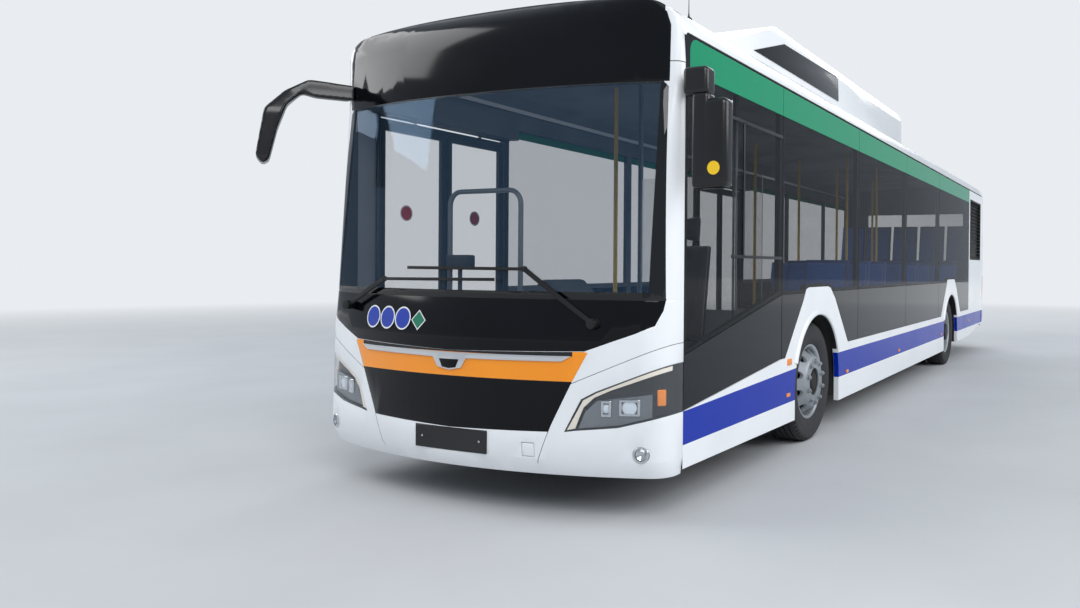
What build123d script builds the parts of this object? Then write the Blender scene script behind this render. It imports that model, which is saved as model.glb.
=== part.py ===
from build123d import *
import os
from math import cos, pi, sin, sqrt

# Low-floor city bus with two axles, in millimetres.
# X points to the bus's left side, Y to its rear and Z up.
# The origin is on the ground, below the middle of the body.

# Whole vehicle
LENGTH = 12185
WIDTH = 2550
WHEELBASE = 6005
FRONT_OVERHANG = 2775
SKIRT_Z = 250
GLASS_LOW_Z = 745
GLASS_LOW_FRONT_Z = 600
GLASS_TOP_Z = 2700
ROOF_TOP_Z = 2960
PANEL_JOINT = 0.3
MOVING_GAP = 6

# Body shell
WALL = 45
SHELL = 40
GLASS = 6
FRONT_SEAM_LENGTH = 440
REAR_SEAM_LENGTH = 440
FLOOR_TOP_Z = 350
FLOOR_THICKNESS = 60
CEILING_Z = 2885

# Wheels and axles
TYRE_RADIUS = 478.5
TYRE_WIDTH = 276
RIM_RADIUS = 286
RIM_FLANGE_RADIUS = 302
RIM_WIDTH = 224
TWIN_SPACING = 312
DISH_DEPTH = (TWIN_SPACING - PANEL_JOINT) / 2
TYRE_OUTER_X = 1223
KINGPIN_X = 980
STEER_LIMIT_DEG = 45
RUNNING_FIT = 0.5
ARCH_RADIUS = 545
WHEELHOUSE_RADIUS = 560
WHEELHOUSE_INNER_X = 560
WHEELHOUSE_SHEET = 20
PLATFORM_Z = 1040
FLOOR_NOSE_LENGTH = 150
AXLE_BEAM_Z = 215

# Engine and what carries it
ENGINE_LENGTH = 1140
ENGINE_CLEARANCE = 120
ENGINE_WIDTH = 1240
ENGINE_HEIGHT = 500
ENGINE_RAIL_X = 420
ENGINE_RAIL_Z = 460

# Side windows
BELT_Z = 1210
PANE_GAP = 8
PILLAR_HALF = 45
SILL = 45
WINDOW_TOP_Z = 2560
DRIVER_BELT_FRONT_Z = 911
PANE_JOINTS_Y = (-4150, -2190, -230, 1730)
ENGINE_BAY_Y = 4300
RIGHT_REAR_JOINT_Y = 2500
HUMP_OUTLINE = ((-760, 734), (-370, 1147), (-300, 1238), (-235, 1251),
                (235, 1251), (300, 1238), (430, 1147), (820, 734))
HUMP_MIDDLE_Z = 900

# Louvre of the engine bay, high on the left side
LOUVRE_Y = (4380, 5560)
LOUVRE_Z = (1560, 2560)
LOUVRE_RIM = 30
LOUVRE_SLATS = 16
LOUVRE_SLAT_THICKNESS = 6

# Doors on the right side
OPERATOR_DEPTH = 110
DOOR_HALF = 640
DOOR_TOP_Z = 2440
DOOR_GAP = 12
LEAF_THICKNESS = 38
LEAF_RECESS = 10
LEAF_FRAME = 55
PILLAR_OFFSET = 32
DOOR_PILLAR_RADIUS = 15
DOOR_ARM_THICKNESS = 12
FRONT_DOOR_Y = -4830
MIDDLE_DOOR_Y = 50

# Front face
WINDSCREEN_LOW_Z = 1225
WINDSCREEN_TOP_Z = 2410
CAP_TOP_Z = 2935
LOWER_PANEL_TOP_Z = 925
LOWER_PANEL_LOW_Z = 495
PLATE_HOLE_SPACING = 420
PLATE_HOLE_RADIUS = 3.2
PLATE_HALF = 265
PLATE_Z = (342, 478)
TOW_EYE_RADIUS = 12
TOW_EYE_DEPTH = 60
TOW_BLOCK_X = (480, 560)
TOW_BLOCK_Z = (350, 430)

# Rear face
ENGINE_FLAP_LOW_Z = 520
ENGINE_FLAP_TOP_Z = 1300
ENGINE_FLAP_HALF = 900
REAR_WINDOW_LOW_Z = 1560
REAR_WINDOW_TOP_Z = 2420
REAR_WINDOW_HALF = 900
FLAP_SLOTS = 9
FLAP_SLOTS_Z = (640, 960)
FLAP_SLOT_X = (-520, 0, 520)
FLAP_SLOT_LENGTH = 440
REAR_LAMP_X = 1010
REAR_LAMP_Z = (760, 1280)
REAR_LAMP_WRAP = 150
REAR_HINGE_RADIUS = 9
REAR_HINGE_Z = ENGINE_FLAP_TOP_Z + MOVING_GAP / 2
# Barrels of the engine flap's hinge: ends along X, and what carries the barrel
REAR_HINGE = ((-260, -220, "wall"), (-219.5, -180, "flap"), (180, 219.5, "flap"), (220, 260, "wall"))

# Roof gas pod
POD_FRONT_Y = -4620
POD_REAR_Y = 350
POD_HALF = 1065
POD_PEAK_Y = -3560
POD_TOP_Z = 3325

# Derived places
FRONT_Y = -LENGTH / 2
REAR_Y = LENGTH / 2
HALF = WIDTH / 2
FRONT_AXLE_Y = FRONT_Y + FRONT_OVERHANG
REAR_AXLE_Y = FRONT_AXLE_Y + WHEELBASE
FRONT_SEAM_Y = FRONT_Y + FRONT_SEAM_LENGTH
REAR_SEAM_Y = REAR_Y - REAR_SEAM_LENGTH
FLOOR_Z = FLOOR_TOP_Z - FLOOR_THICKNESS
AXLES_Y = (FRONT_AXLE_Y, REAR_AXLE_Y)
GLASS_FACE = HALF - GLASS - PANEL_JOINT
PLATE_Y = FRONT_Y + 14
TOW_FACE_Y = FRONT_Y + 60
REAR_HINGE_Y = REAR_Y - 2

os.makedirs("parts", exist_ok=True)


def block(x0, x1, y0, y1, z0, z1):
    centre = ((x0 + x1) / 2, (y0 + y1) / 2, (z0 + z1) / 2)
    return Pos(*centre) * Box(x1 - x0, y1 - y0, z1 - z0)


def prism_x(points, x0, x1):
    outline = Polyline(*[(x0, y, z) for y, z in points], close=True)
    return extrude(make_face(outline), amount=x1 - x0, dir=(1, 0, 0))


def prism_y(points, y0, y1):
    outline = Polyline(*[(x, y0, z) for x, z in points], close=True)
    return extrude(make_face(outline), amount=y1 - y0, dir=(0, 1, 0))


def rod_x(x0, x1, y, z, radius):
    return Pos((x0 + x1) / 2, y, z) * Rot(0, 90, 0) * Cylinder(radius, x1 - x0)


def rod_y(y0, y1, x, z, radius):
    return Pos(x, (y0 + y1) / 2, z) * Rot(90, 0, 0) * Cylinder(radius, y1 - y0)


def rod_z(z0, z1, x, y, radius):
    return Pos(x, y, (z0 + z1) / 2) * Cylinder(radius, z1 - z0)


def both_sides(shape):
    return [shape, mirror(shape, Plane.YZ)]


def save(name, shapes):
    solids = []
    for shape in shapes if isinstance(shapes, list) else [shapes]:
        solids += shape.solids()
    export_step(solids[0] if len(solids) == 1 else Compound(children=solids), f"parts/{name}.step")


# Plan sections of an end, from below upwards: height, setback of the face, half width, bow, corner radius,
# and how far the inner face lies inwards along Y and down along Z, as shares of the wall
FRONT_SECTIONS = (
    (SKIRT_Z, 52, HALF - 14, 245, 150, 1, 0),
    (340, 8, HALF - 2, 250, 165, 1, 0),
    (430, 0, HALF, 250, 165, 1, 0),
    (1000, 0, HALF, 250, 235, 1, 0),
    (WINDSCREEN_LOW_Z, 27, HALF, 250, 225, 1, 0),
    (WINDSCREEN_TOP_Z, 170, HALF, 224, 60, 1, 0),
    (2700, 204, HALF, 190, 55, 1, 0),
    (2830, 230, HALF, 162, 55, 0.9, 0.4),
    (2900, 285, HALF, 105, 50, 0.6, 0.8),
    (ROOF_TOP_Z, 380, HALF, 22, 30, 0.1, 1),
)
REAR_SECTIONS = (
    (400, 40, HALF - 8, 45, 190, 1, 0),
    (560, 0, HALF, 45, 220, 1, 0),
    (1300, 0, HALF, 45, 220, 1, 0),
    (2500, 60, HALF, 45, 200, 1, 0),
    (2800, 90, HALF, 45, 180, 0.9, 0.4),
    (2900, 150, HALF, 45, 170, 0.6, 0.8),
    (ROOF_TOP_Z, 230, HALF, 45, 150, 0.1, 1),
)
SMALLEST_CORNER = 6


def end_section(z, end, half, bow, corner, seam):
    inward = 1 if seam > end else -1
    side = end + inward * bow
    arc = ThreePointArc((-half, side, z), (0, end, z), (half, side, z))
    sides = Polyline((half, side, z), (half, seam, z), (-half, seam, z), (-half, side, z))
    face = make_face([arc, sides])
    corners = [v for v in face.vertices() if abs(v.Y - side) < 1]
    return fillet(corners, max(corner, SMALLEST_CORNER))


def end_solid(sections, face_y, seam, inset):
    inward = 1 if seam > face_y else -1
    outlines = []
    for z, setback, half, bow, corner, share_y, share_z in sections:
        width = half - inset
        end = face_y + inward * (setback + share_y * inset)
        overrun = inward * 5 if inset else 0
        outlines.append(end_section(z - share_z * inset, end, width, bow * (width / half) ** 2,
                                    corner - inset, seam + overrun))
    bar = body_bar(inset, min(face_y, seam) - 10, max(face_y, seam) + 10)
    return loft(outlines, ruled=True) & bar


def front_solid(inset):
    return end_solid(FRONT_SECTIONS, FRONT_Y, FRONT_SEAM_Y, inset)


def rear_solid(inset):
    return end_solid(REAR_SECTIONS, REAR_Y, REAR_SEAM_Y, inset)


def roof_outline(inset):
    shoulder = (HALF - 185 - inset * 0.6, 2890 - inset)
    edge = (HALF - 9 - inset, GLASS_TOP_Z)
    middle = (HALF - 62 - inset * 0.8, 2822 - inset * 0.7)
    return edge, middle, shoulder


def body_bar(inset, y0, y1):
    edge, middle, shoulder = roof_outline(inset)
    top = ROOF_TOP_Z - inset
    low = SKIRT_Z - 50
    side = HALF - inset
    lines = [
        Polyline((-edge[0], y0, edge[1]), (-side, y0, edge[1] - 150), (-side, y0, low), (side, y0, low),
                 (side, y0, edge[1] - 150), (edge[0], y0, edge[1])),
        ThreePointArc((edge[0], y0, edge[1]), (middle[0], y0, middle[1]), (shoulder[0], y0, shoulder[1])),
        ThreePointArc((shoulder[0], y0, shoulder[1]), (0, y0, top), (-shoulder[0], y0, shoulder[1])),
        ThreePointArc((-shoulder[0], y0, shoulder[1]), (-middle[0], y0, middle[1]), (-edge[0], y0, edge[1])),
    ]
    return extrude(make_face(lines), amount=y1 - y0, dir=(0, 1, 0))


def make_roof():
    y0 = FRONT_SEAM_Y + PANEL_JOINT
    y1 = REAR_SEAM_Y - PANEL_JOINT
    bar = body_bar(0, y0, y1) - body_bar(ROOF_TOP_Z - CEILING_Z, y0 - 1, y1 + 1)
    roof = bar & block(-HALF, HALF, y0, y1, GLASS_TOP_Z + PANEL_JOINT, ROOF_TOP_Z + 50)
    for y in (1500, 4200):
        roof += block(-380, 380, y - 300, y + 300, ROOF_TOP_Z - 30, ROOF_TOP_Z + 25)
    return roof


def hump_points(axle_y, grow):
    points = []
    for y, z in HUMP_OUTLINE:
        side = 1 if y > 0 else -1
        points.append((axle_y + y + side * grow, z + (grow if z > HUMP_MIDDLE_Z else 0)))
    return [(points[0][0], GLASS_LOW_Z - 80)] + points + [(points[-1][0], GLASS_LOW_Z - 80)]


def wall_outline():
    y0 = FRONT_SEAM_Y + PANEL_JOINT
    y1 = REAR_SEAM_Y - PANEL_JOINT
    return [(y0, SKIRT_Z + 25), (FRONT_AXLE_Y, SKIRT_Z), (REAR_AXLE_Y, SKIRT_Z),
            (REAR_AXLE_Y + 500, 300), (ENGINE_BAY_Y, 300), (y1, 440), (y1, GLASS_TOP_Z), (y0, GLASS_TOP_Z)]


def belt_z(y):
    joint = PANE_JOINTS_Y[0]
    if y >= joint:
        return BELT_Z
    return BELT_Z + (DRIVER_BELT_FRONT_Z - BELT_Z) * (joint - y) / (joint - FRONT_SEAM_Y)


def glass_low(y):
    joint = PANE_JOINTS_Y[0]
    if y >= joint:
        return GLASS_LOW_Z
    return GLASS_LOW_Z + (GLASS_LOW_FRONT_Z - GLASS_LOW_Z) * (joint - y) / (joint - FRONT_SEAM_Y)


def window_cells(joints):
    cells = []
    for y0, y1 in zip(joints[:-1], joints[1:]):
        cells.append([(y0, glass_low(y0)), (y1, glass_low(y1)), (y1, belt_z(y1)), (y0, belt_z(y0))])
        cells.append([(y0, belt_z(y0)), (y1, belt_z(y1)), (y1, GLASS_TOP_Z), (y0, GLASS_TOP_Z)])
    return cells


def shrink_cell(cell, sides, low, high):
    (y0, a), (y1, b), (_, c), (_, d) = cell
    return [(y0 + sides, a + low), (y1 - sides, b + low), (y1 - sides, c - high), (y0 + sides, d - high)]


def door_span(door_y):
    return door_y - DOOR_HALF - DOOR_GAP, door_y + DOOR_HALF + DOOR_GAP


def rectangle(y0, y1, z0, z1):
    return [(y0, z0), (y1, z0), (y1, z1), (y0, z1)]


def window_opening(cell):
    upper = cell[2][1] > GLASS_TOP_Z - 1
    low = SILL / 2 if upper else SILL
    high = GLASS_TOP_Z - WINDOW_TOP_Z if upper else SILL / 2
    opening = prism_x(shrink_cell(cell, PILLAR_HALF, low, high), HALF - WALL - 1, HALF + 1)
    for axle_y in AXLES_Y:
        opening -= prism_x(hump_points(axle_y, 25), HALF - WALL - 2, HALF + 2)
    return opening


def wall_with_windows(open_cells, glass_end):
    wall = prism_x(wall_outline(), HALF - WALL, HALF)
    front = FRONT_SEAM_Y - 1
    low = GLASS_LOW_Z - PANE_GAP / 2
    recess = [(front, GLASS_LOW_FRONT_Z - PANE_GAP / 2), (PANE_JOINTS_Y[0], low), (glass_end, low),
              (glass_end, GLASS_TOP_Z + 1), (front, GLASS_TOP_Z + 1)]
    wall -= prism_x(recess, GLASS_FACE, HALF + 1)
    for axle_y in AXLES_Y:
        wall += prism_x(hump_points(axle_y, 0), HALF - WALL, HALF)
    for cell in open_cells:
        wall -= window_opening(cell)
    for axle_y in AXLES_Y:
        wall -= rod_x(HALF - WALL - 1, HALF + 1, axle_y, TYRE_RADIUS, ARCH_RADIUS)
        wall -= block(HALF - WALL - 1, HALF + 1, axle_y - ARCH_RADIUS, axle_y + ARCH_RADIUS,
                      SKIRT_Z - 10, TYRE_RADIUS)
    return wall


def side_panes(cells):
    panes = []
    for cell in cells:
        pane = prism_x(shrink_cell(cell, PANE_GAP / 2, 1, 3), HALF - GLASS, HALF)
        for axle_y in AXLES_Y:
            pane -= prism_x(hump_points(axle_y, 4), HALF - GLASS - 1, HALF + 1)
        panes += pane.solids()
    return panes


def make_left_side():
    joints = (FRONT_SEAM_Y + PANEL_JOINT,) + PANE_JOINTS_Y + (ENGINE_BAY_Y,)
    cells = window_cells(joints)
    wall = wall_with_windows(cells, ENGINE_BAY_Y)
    wall -= block(HALF - WALL - 1, HALF + 1, *LOUVRE_Y, *LOUVRE_Z)
    return wall, side_panes(cells)


def make_right_side():
    front = door_span(FRONT_DOOR_Y)
    middle = door_span(MIDDLE_DOOR_Y)
    rear_end = REAR_SEAM_Y - PANEL_JOINT
    open_cells = window_cells((front[1], PANE_JOINTS_Y[1], middle[0]))
    open_cells += window_cells((middle[1], RIGHT_REAR_JOINT_Y, ENGINE_BAY_Y))
    rear_cells = window_cells((ENGINE_BAY_Y, rear_end))
    open_cells.append(rear_cells[1])
    above_doors = [rectangle(*span, DOOR_TOP_Z + DOOR_GAP, GLASS_TOP_Z) for span in (front, middle)]
    corner_y = FRONT_SEAM_Y + PANEL_JOINT
    jamb = [(corner_y, glass_low(corner_y)), (front[0], glass_low(front[0])), (front[0], GLASS_TOP_Z),
            (corner_y, GLASS_TOP_Z)]
    wall = wall_with_windows(open_cells, REAR_SEAM_Y + 1)
    head_z = DOOR_TOP_Z + DOOR_GAP
    for y0, y1 in (front, middle):
        wall -= block(HALF - WALL - 1, HALF + 1, y0, y1, FLOOR_TOP_Z - 5, head_z)
        wall += block(HALF - WALL - OPERATOR_DEPTH, HALF - WALL + 1, y0 - 60, y1 + 60,
                      head_z, GLASS_TOP_Z - 60)
    panes = side_panes(open_cells + [rear_cells[0], jamb] + above_doors)
    return mirror(wall, Plane.YZ), [mirror(pane, Plane.YZ) for pane in panes]


def make_louvre():
    y0, y1 = LOUVRE_Y[0] + PANEL_JOINT, LOUVRE_Y[1] - PANEL_JOINT
    z0, z1 = LOUVRE_Z[0] + PANEL_JOINT, LOUVRE_Z[1] - PANEL_JOINT
    grille = block(HALF - WALL, HALF - 2, y0, y1, z0, z1)
    grille -= block(HALF - WALL - 1, HALF + 1, y0 + LOUVRE_RIM, y1 - LOUVRE_RIM,
                    z0 + LOUVRE_RIM, z1 - LOUVRE_RIM)
    pitch = (z1 - z0 - 2 * LOUVRE_RIM) / LOUVRE_SLATS
    for i in range(LOUVRE_SLATS):
        z = z0 + LOUVRE_RIM + pitch * (i + 0.5)
        slat = Box(WALL - 12, y1 - y0 - 2 * LOUVRE_RIM + 2, LOUVRE_SLAT_THICKNESS)
        grille += Pos(HALF - WALL / 2 - 1, (y0 + y1) / 2, z) * Rot(0, 32, 0) * slat
    return grille


def wheelhouse(axle_y):
    radius = WHEELHOUSE_RADIUS + WHEELHOUSE_SHEET
    outer = rod_x(WHEELHOUSE_INNER_X, HALF - WALL - PANEL_JOINT, axle_y, TYRE_RADIUS, radius)
    return outer & block(0, HALF, axle_y - 700, axle_y + 700, FLOOR_Z, 2000)


def wheel_well(axle_y):
    well = rod_x(WHEELHOUSE_INNER_X + WHEELHOUSE_SHEET, HALF, axle_y, TYRE_RADIUS, WHEELHOUSE_RADIUS)
    return well + block(WHEELHOUSE_INNER_X + WHEELHOUSE_SHEET, HALF, axle_y - WHEELHOUSE_RADIUS,
                        axle_y + WHEELHOUSE_RADIUS, FLOOR_Z - 1, TYRE_RADIUS)


# Steel pads below the frame, where a jack or a stand takes hold
JACK_PAD_X = 900
JACK_PADS_Y = (-2300, 1700)
JACK_PAD_HALF = 60
JACK_PAD_DEPTH = 12


def make_underframe():
    edge = HALF - WALL - PANEL_JOINT
    front = FRONT_SEAM_Y + 20
    step_y = ENGINE_BAY_Y - 40
    rear = REAR_SEAM_Y
    frame = block(-edge, edge, front, ENGINE_BAY_Y, FLOOR_Z, FLOOR_TOP_Z)
    frame += block(-edge + 80, edge - 80, front - FLOOR_NOSE_LENGTH, front + 1, FLOOR_Z, FLOOR_TOP_Z)
    frame += block(-edge, edge, step_y, ENGINE_BAY_Y, FLOOR_Z, PLATFORM_Z)
    frame += block(-edge, edge, step_y, rear, PLATFORM_Z - 40, PLATFORM_Z)
    for x in (-ENGINE_RAIL_X, ENGINE_RAIL_X):
        frame += block(x - 40, x + 40, ENGINE_BAY_Y - 1, rear, ENGINE_RAIL_Z - 60, ENGINE_RAIL_Z)
        frame += block(x - 40, x + 40, rear - 60, rear, ENGINE_RAIL_Z - 1, PLATFORM_Z - 39)
    half = JACK_PAD_HALF
    for y in JACK_PADS_Y:
        pad = block(JACK_PAD_X - half, JACK_PAD_X + half, y - half, y + half,
                    FLOOR_Z - JACK_PAD_DEPTH, FLOOR_Z + 1)
        frame += pad + mirror(pad, Plane.YZ)
    for axle_y in AXLES_Y:
        for house in both_sides(wheelhouse(axle_y)):
            frame += house
        for well in both_sides(wheel_well(axle_y)):
            frame -= well
    return frame


def make_engine():
    y0 = ENGINE_BAY_Y + ENGINE_CLEARANCE
    z0 = ENGINE_RAIL_Z + PANEL_JOINT
    return block(-ENGINE_WIDTH / 2, ENGINE_WIDTH / 2, y0, y0 + ENGINE_LENGTH, z0, z0 + ENGINE_HEIGHT)


# Tyres and rims are turned forms about the X axis with this many flats, one of them on the ground
WHEEL_FLATS = 30


def turned(profile):
    # The profile lists the distance from the wheel's middle plane and the radius of the flats
    step = 2 * pi / WHEEL_FLATS
    rings = []
    for x, radius in profile:
        corner = radius / cos(step / 2)
        rings.append([(x, corner * sin(step * (i + 0.5)), corner * cos(step * (i + 0.5)))
                      for i in range(WHEEL_FLATS)])
    faces = [make_face(Polyline(*ring, close=True)) for ring in (rings[0], rings[-1])]
    for ring, following in zip(rings[:-1], rings[1:]):
        for i in range(WHEEL_FLATS):
            flat = (ring[i - 1], ring[i], following[i], following[i - 1])
            faces.append(make_face(Polyline(*flat, close=True)))
    return Solid(Shell([face.face() for face in faces]))


def mirrored(profile):
    return [(-x, radius) for x, radius in profile] + [(x, radius) for x, radius in reversed(profile)]


def make_tyre():
    half = TYRE_WIDTH / 2
    bead = RIM_WIDTH / 2 - 12.5
    tread = mirrored([(half, 400), (half - 8, 446), (half - 28, 470), (half - 60, TYRE_RADIUS)])
    inside = mirrored([(half + 1, 386), (half - 4, 345), (bead + 11.5, RIM_FLANGE_RADIUS + 2),
                       (bead, RIM_RADIUS + PANEL_JOINT)])
    return turned(tread) - turned(inside)


HAND_HOLES = 10
HAND_HOLE_RADIUS = 24
HAND_HOLE_SIDES = 8
HAND_HOLE_CIRCLE = 238
RIM_SHEET = 12
DISC_SHEET = 14
HUB_FACE_RADIUS = 110
NUT_FACE_RADIUS = 188


def make_rim():
    half = RIM_WIDTH / 2
    bar = RIM_RADIUS - RIM_SHEET
    lip = RIM_FLANGE_RADIUS - 14
    barrel = turned(mirrored([(half, RIM_FLANGE_RADIUS), (half - 10, RIM_RADIUS)]))
    barrel -= turned(mirrored([(half + 1, lip), (half - 16, bar)]))
    dish = turned([(42, bar + 2), (58, bar + 2), (70, 262), (DISH_DEPTH - 10, NUT_FACE_RADIUS + 18),
                   (DISH_DEPTH, NUT_FACE_RADIUS)])
    dish -= turned([(41, bar - 10), (54, 252), (DISH_DEPTH - 24, NUT_FACE_RADIUS + 10),
                    (DISH_DEPTH - DISC_SHEET, NUT_FACE_RADIUS - 4)])
    dish -= rod_x(40, DISH_DEPTH + 1, 0, 0, HUB_FACE_RADIUS)
    for i in range(HAND_HOLES):
        angle = 2 * pi * i / HAND_HOLES
        place = (40, HAND_HOLE_CIRCLE * sin(angle), HAND_HOLE_CIRCLE * cos(angle))
        hole = Plane(place, z_dir=(1, 0, 0)) * RegularPolygon(HAND_HOLE_RADIUS, HAND_HOLE_SIDES)
        dish -= extrude(hole, amount=DISH_DEPTH - 39)
    return barrel + dish


def hub(x0, x1, axle_y, radius):
    return rod_x(x0, x1, axle_y, TYRE_RADIUS, radius)


FRONT_TYRE_X = TYRE_OUTER_X - TYRE_WIDTH / 2
TWIN_INNER_X = FRONT_TYRE_X - TWIN_SPACING


KNUCKLE_HALF = 105
KINGPIN_RADIUS = 24
KINGPIN_EYE = 44
KNUCKLE_LUG_HALF = 52
SPINDLE_RADIUS = 38
SPINDLE_END_X = 1200
FRONT_HUB_INNER_X = 1070
FRONT_HUB_OUTER_X = 1238
HUB_CAP_RADIUS = 70
HUB_RADIUS = 120


def make_knuckle():
    y0, y1 = FRONT_AXLE_Y - KNUCKLE_LUG_HALF, FRONT_AXLE_Y + KNUCKLE_LUG_HALF
    low, high = TYRE_RADIUS - KNUCKLE_HALF, TYRE_RADIUS + KNUCKLE_HALF
    back_x = KINGPIN_X + 51
    knuckle = block(back_x, back_x + 30, y0, y1, low, high)
    for z0, z1 in ((low, TYRE_RADIUS - 65), (TYRE_RADIUS + 65, high)):
        knuckle += rod_z(z0, z1, KINGPIN_X, FRONT_AXLE_Y, KNUCKLE_LUG_HALF)
        knuckle += block(KINGPIN_X, back_x + 1, y0, y1, z0, z1)
    knuckle += rod_z(low, high, KINGPIN_X, FRONT_AXLE_Y, KINGPIN_RADIUS)
    return knuckle + hub(back_x + 10, SPINDLE_END_X, FRONT_AXLE_Y, SPINDLE_RADIUS)


def make_front_rim(rim_form):
    back_x = FRONT_TYRE_X + DISH_DEPTH - DISC_SHEET
    rim = Pos(FRONT_TYRE_X, FRONT_AXLE_Y, TYRE_RADIUS) * rim_form
    rim += hub(FRONT_HUB_INNER_X, back_x + 1, FRONT_AXLE_Y, HUB_RADIUS)
    rim += hub(back_x, FRONT_HUB_OUTER_X, FRONT_AXLE_Y, HUB_CAP_RADIUS)
    return rim - hub(FRONT_HUB_INNER_X - 10, SPINDLE_END_X + 6, FRONT_AXLE_Y, SPINDLE_RADIUS + RUNNING_FIT)


REAR_SPINDLE_RADIUS = 55
REAR_HUB_INNER_X = 700
REAR_HUB_OUTER_X = 1216


def make_rear_rims(rim_form):
    mount_x = FRONT_TYRE_X - TWIN_SPACING / 2
    outer = Pos(FRONT_TYRE_X, REAR_AXLE_Y, TYRE_RADIUS) * mirror(rim_form, Plane.YZ)
    inner = Pos(TWIN_INNER_X, REAR_AXLE_Y, TYRE_RADIUS) * rim_form
    bore = hub(REAR_HUB_INNER_X - 10, REAR_HUB_OUTER_X - 26, REAR_AXLE_Y, REAR_SPINDLE_RADIUS + RUNNING_FIT)
    outer += hub(mount_x + PANEL_JOINT / 2, REAR_HUB_OUTER_X, REAR_AXLE_Y, HUB_RADIUS)
    inner += hub(REAR_HUB_INNER_X, mount_x - PANEL_JOINT / 2, REAR_AXLE_Y, HUB_RADIUS)
    return [inner - bore, outer - bore]


def make_axles():
    y = FRONT_AXLE_Y
    eye_half = 64
    beam = block(-700, 700, y - 55, y + 55, AXLE_BEAM_Z - 40, AXLE_BEAM_Z + 40)
    for side in (-1, 1):
        rise = prism_y([(side * 640, AXLE_BEAM_Z - 40), (side * 700, AXLE_BEAM_Z - 40),
                        (side * 900, TYRE_RADIUS - 50), (side * KINGPIN_X, TYRE_RADIUS - 50),
                        (side * KINGPIN_X, TYRE_RADIUS + 50), (side * 850, TYRE_RADIUS + 50),
                        (side * 640, AXLE_BEAM_Z + 40)], y - 40, y + 40)
        beam += rise
        beam += rod_z(TYRE_RADIUS - eye_half, TYRE_RADIUS + eye_half, side * KINGPIN_X, y, KINGPIN_EYE)
        beam -= rod_z(TYRE_RADIUS - 200, TYRE_RADIUS + 200, side * KINGPIN_X, y, KINGPIN_RADIUS + RUNNING_FIT)
    beam += block(-500, -380, y - 50, y + 50, AXLE_BEAM_Z + 39, FLOOR_Z - PANEL_JOINT)
    beam += block(380, 500, y - 50, y + 50, AXLE_BEAM_Z + 39, FLOOR_Z - PANEL_JOINT)
    y = REAR_AXLE_Y
    rear = block(-640, 640, y - 90, y + 90, AXLE_BEAM_Z - 45, AXLE_BEAM_Z + 45)
    hub_drop = rod_x(600, 636, y, TYRE_RADIUS, 150)
    hub_drop += block(600, 636, y - 90, y + 90, AXLE_BEAM_Z - 45, TYRE_RADIUS)
    spindle = rod_x(620, 1180, y, TYRE_RADIUS, REAR_SPINDLE_RADIUS)
    bracket = block(380, 500, y - 60, y + 60, AXLE_BEAM_Z + 44, FLOOR_Z - PANEL_JOINT)
    for shape in both_sides(hub_drop) + both_sides(spindle) + both_sides(bracket):
        rear += shape
    return [beam, rear]


# Half outlines of the front panels as x and z, from the middle outwards and back
WINDSCREEN_HALF = ((0, WINDSCREEN_TOP_Z), (1185, WINDSCREEN_TOP_Z + 14), (1208, WINDSCREEN_TOP_Z - 10),
                   (1236, WINDSCREEN_LOW_Z), (0, WINDSCREEN_LOW_Z))
CAP_HALF = ((0, CAP_TOP_Z), (980, CAP_TOP_Z - 8), (1120, 2872), (1192, 2815),
            (1216, 2740), (1212, WINDSCREEN_TOP_Z + 20), (0, WINDSCREEN_TOP_Z + 6))
BLACK_HALF = ((0, WINDSCREEN_LOW_Z - 6), (1236, WINDSCREEN_LOW_Z - 6), (1230, 1165), (1201, 1083),
              (1110, 1040), (845, 941), (0, LOWER_PANEL_TOP_Z - 6))
LOWER_PANEL_HALF = ((0, LOWER_PANEL_TOP_Z - 7), (838, LOWER_PANEL_TOP_Z + 13), (862, LOWER_PANEL_TOP_Z + 8),
                    (772, 765), (640, LOWER_PANEL_LOW_Z), (0, LOWER_PANEL_LOW_Z - 15))
LAMP_OUTLINE = ((733, 498), (827, 680), (908, 724), (HALF + 50, 895), (HALF + 50, 612), (1201, 577),
                (1024, 531), (796, 508))
STRIP_HALF = ((0, 908), (775, 914), (722, 883), (122, 877), (88, 822), (0, 806))
STRIP_RISE = 9
FOG_LAMP_X = 1146
FOG_LAMP_Z = 388
FOG_LAMP_RADIUS = 44


def half_outline(half_points):
    left = [(-x, z) for x, z in reversed(half_points) if x > 0]
    return list(half_points) + left


def panel_prism(points, grow):
    outline = Polyline(*[(x, FRONT_Y - 50, z) for x, z in points], close=True)
    face = make_face(outline)
    if grow:
        face = offset(face, amount=grow, kind=Kind.INTERSECTION)
    return extrude(face, amount=FRONT_SEAM_LENGTH + 200, dir=(0, 1, 0))


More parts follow.
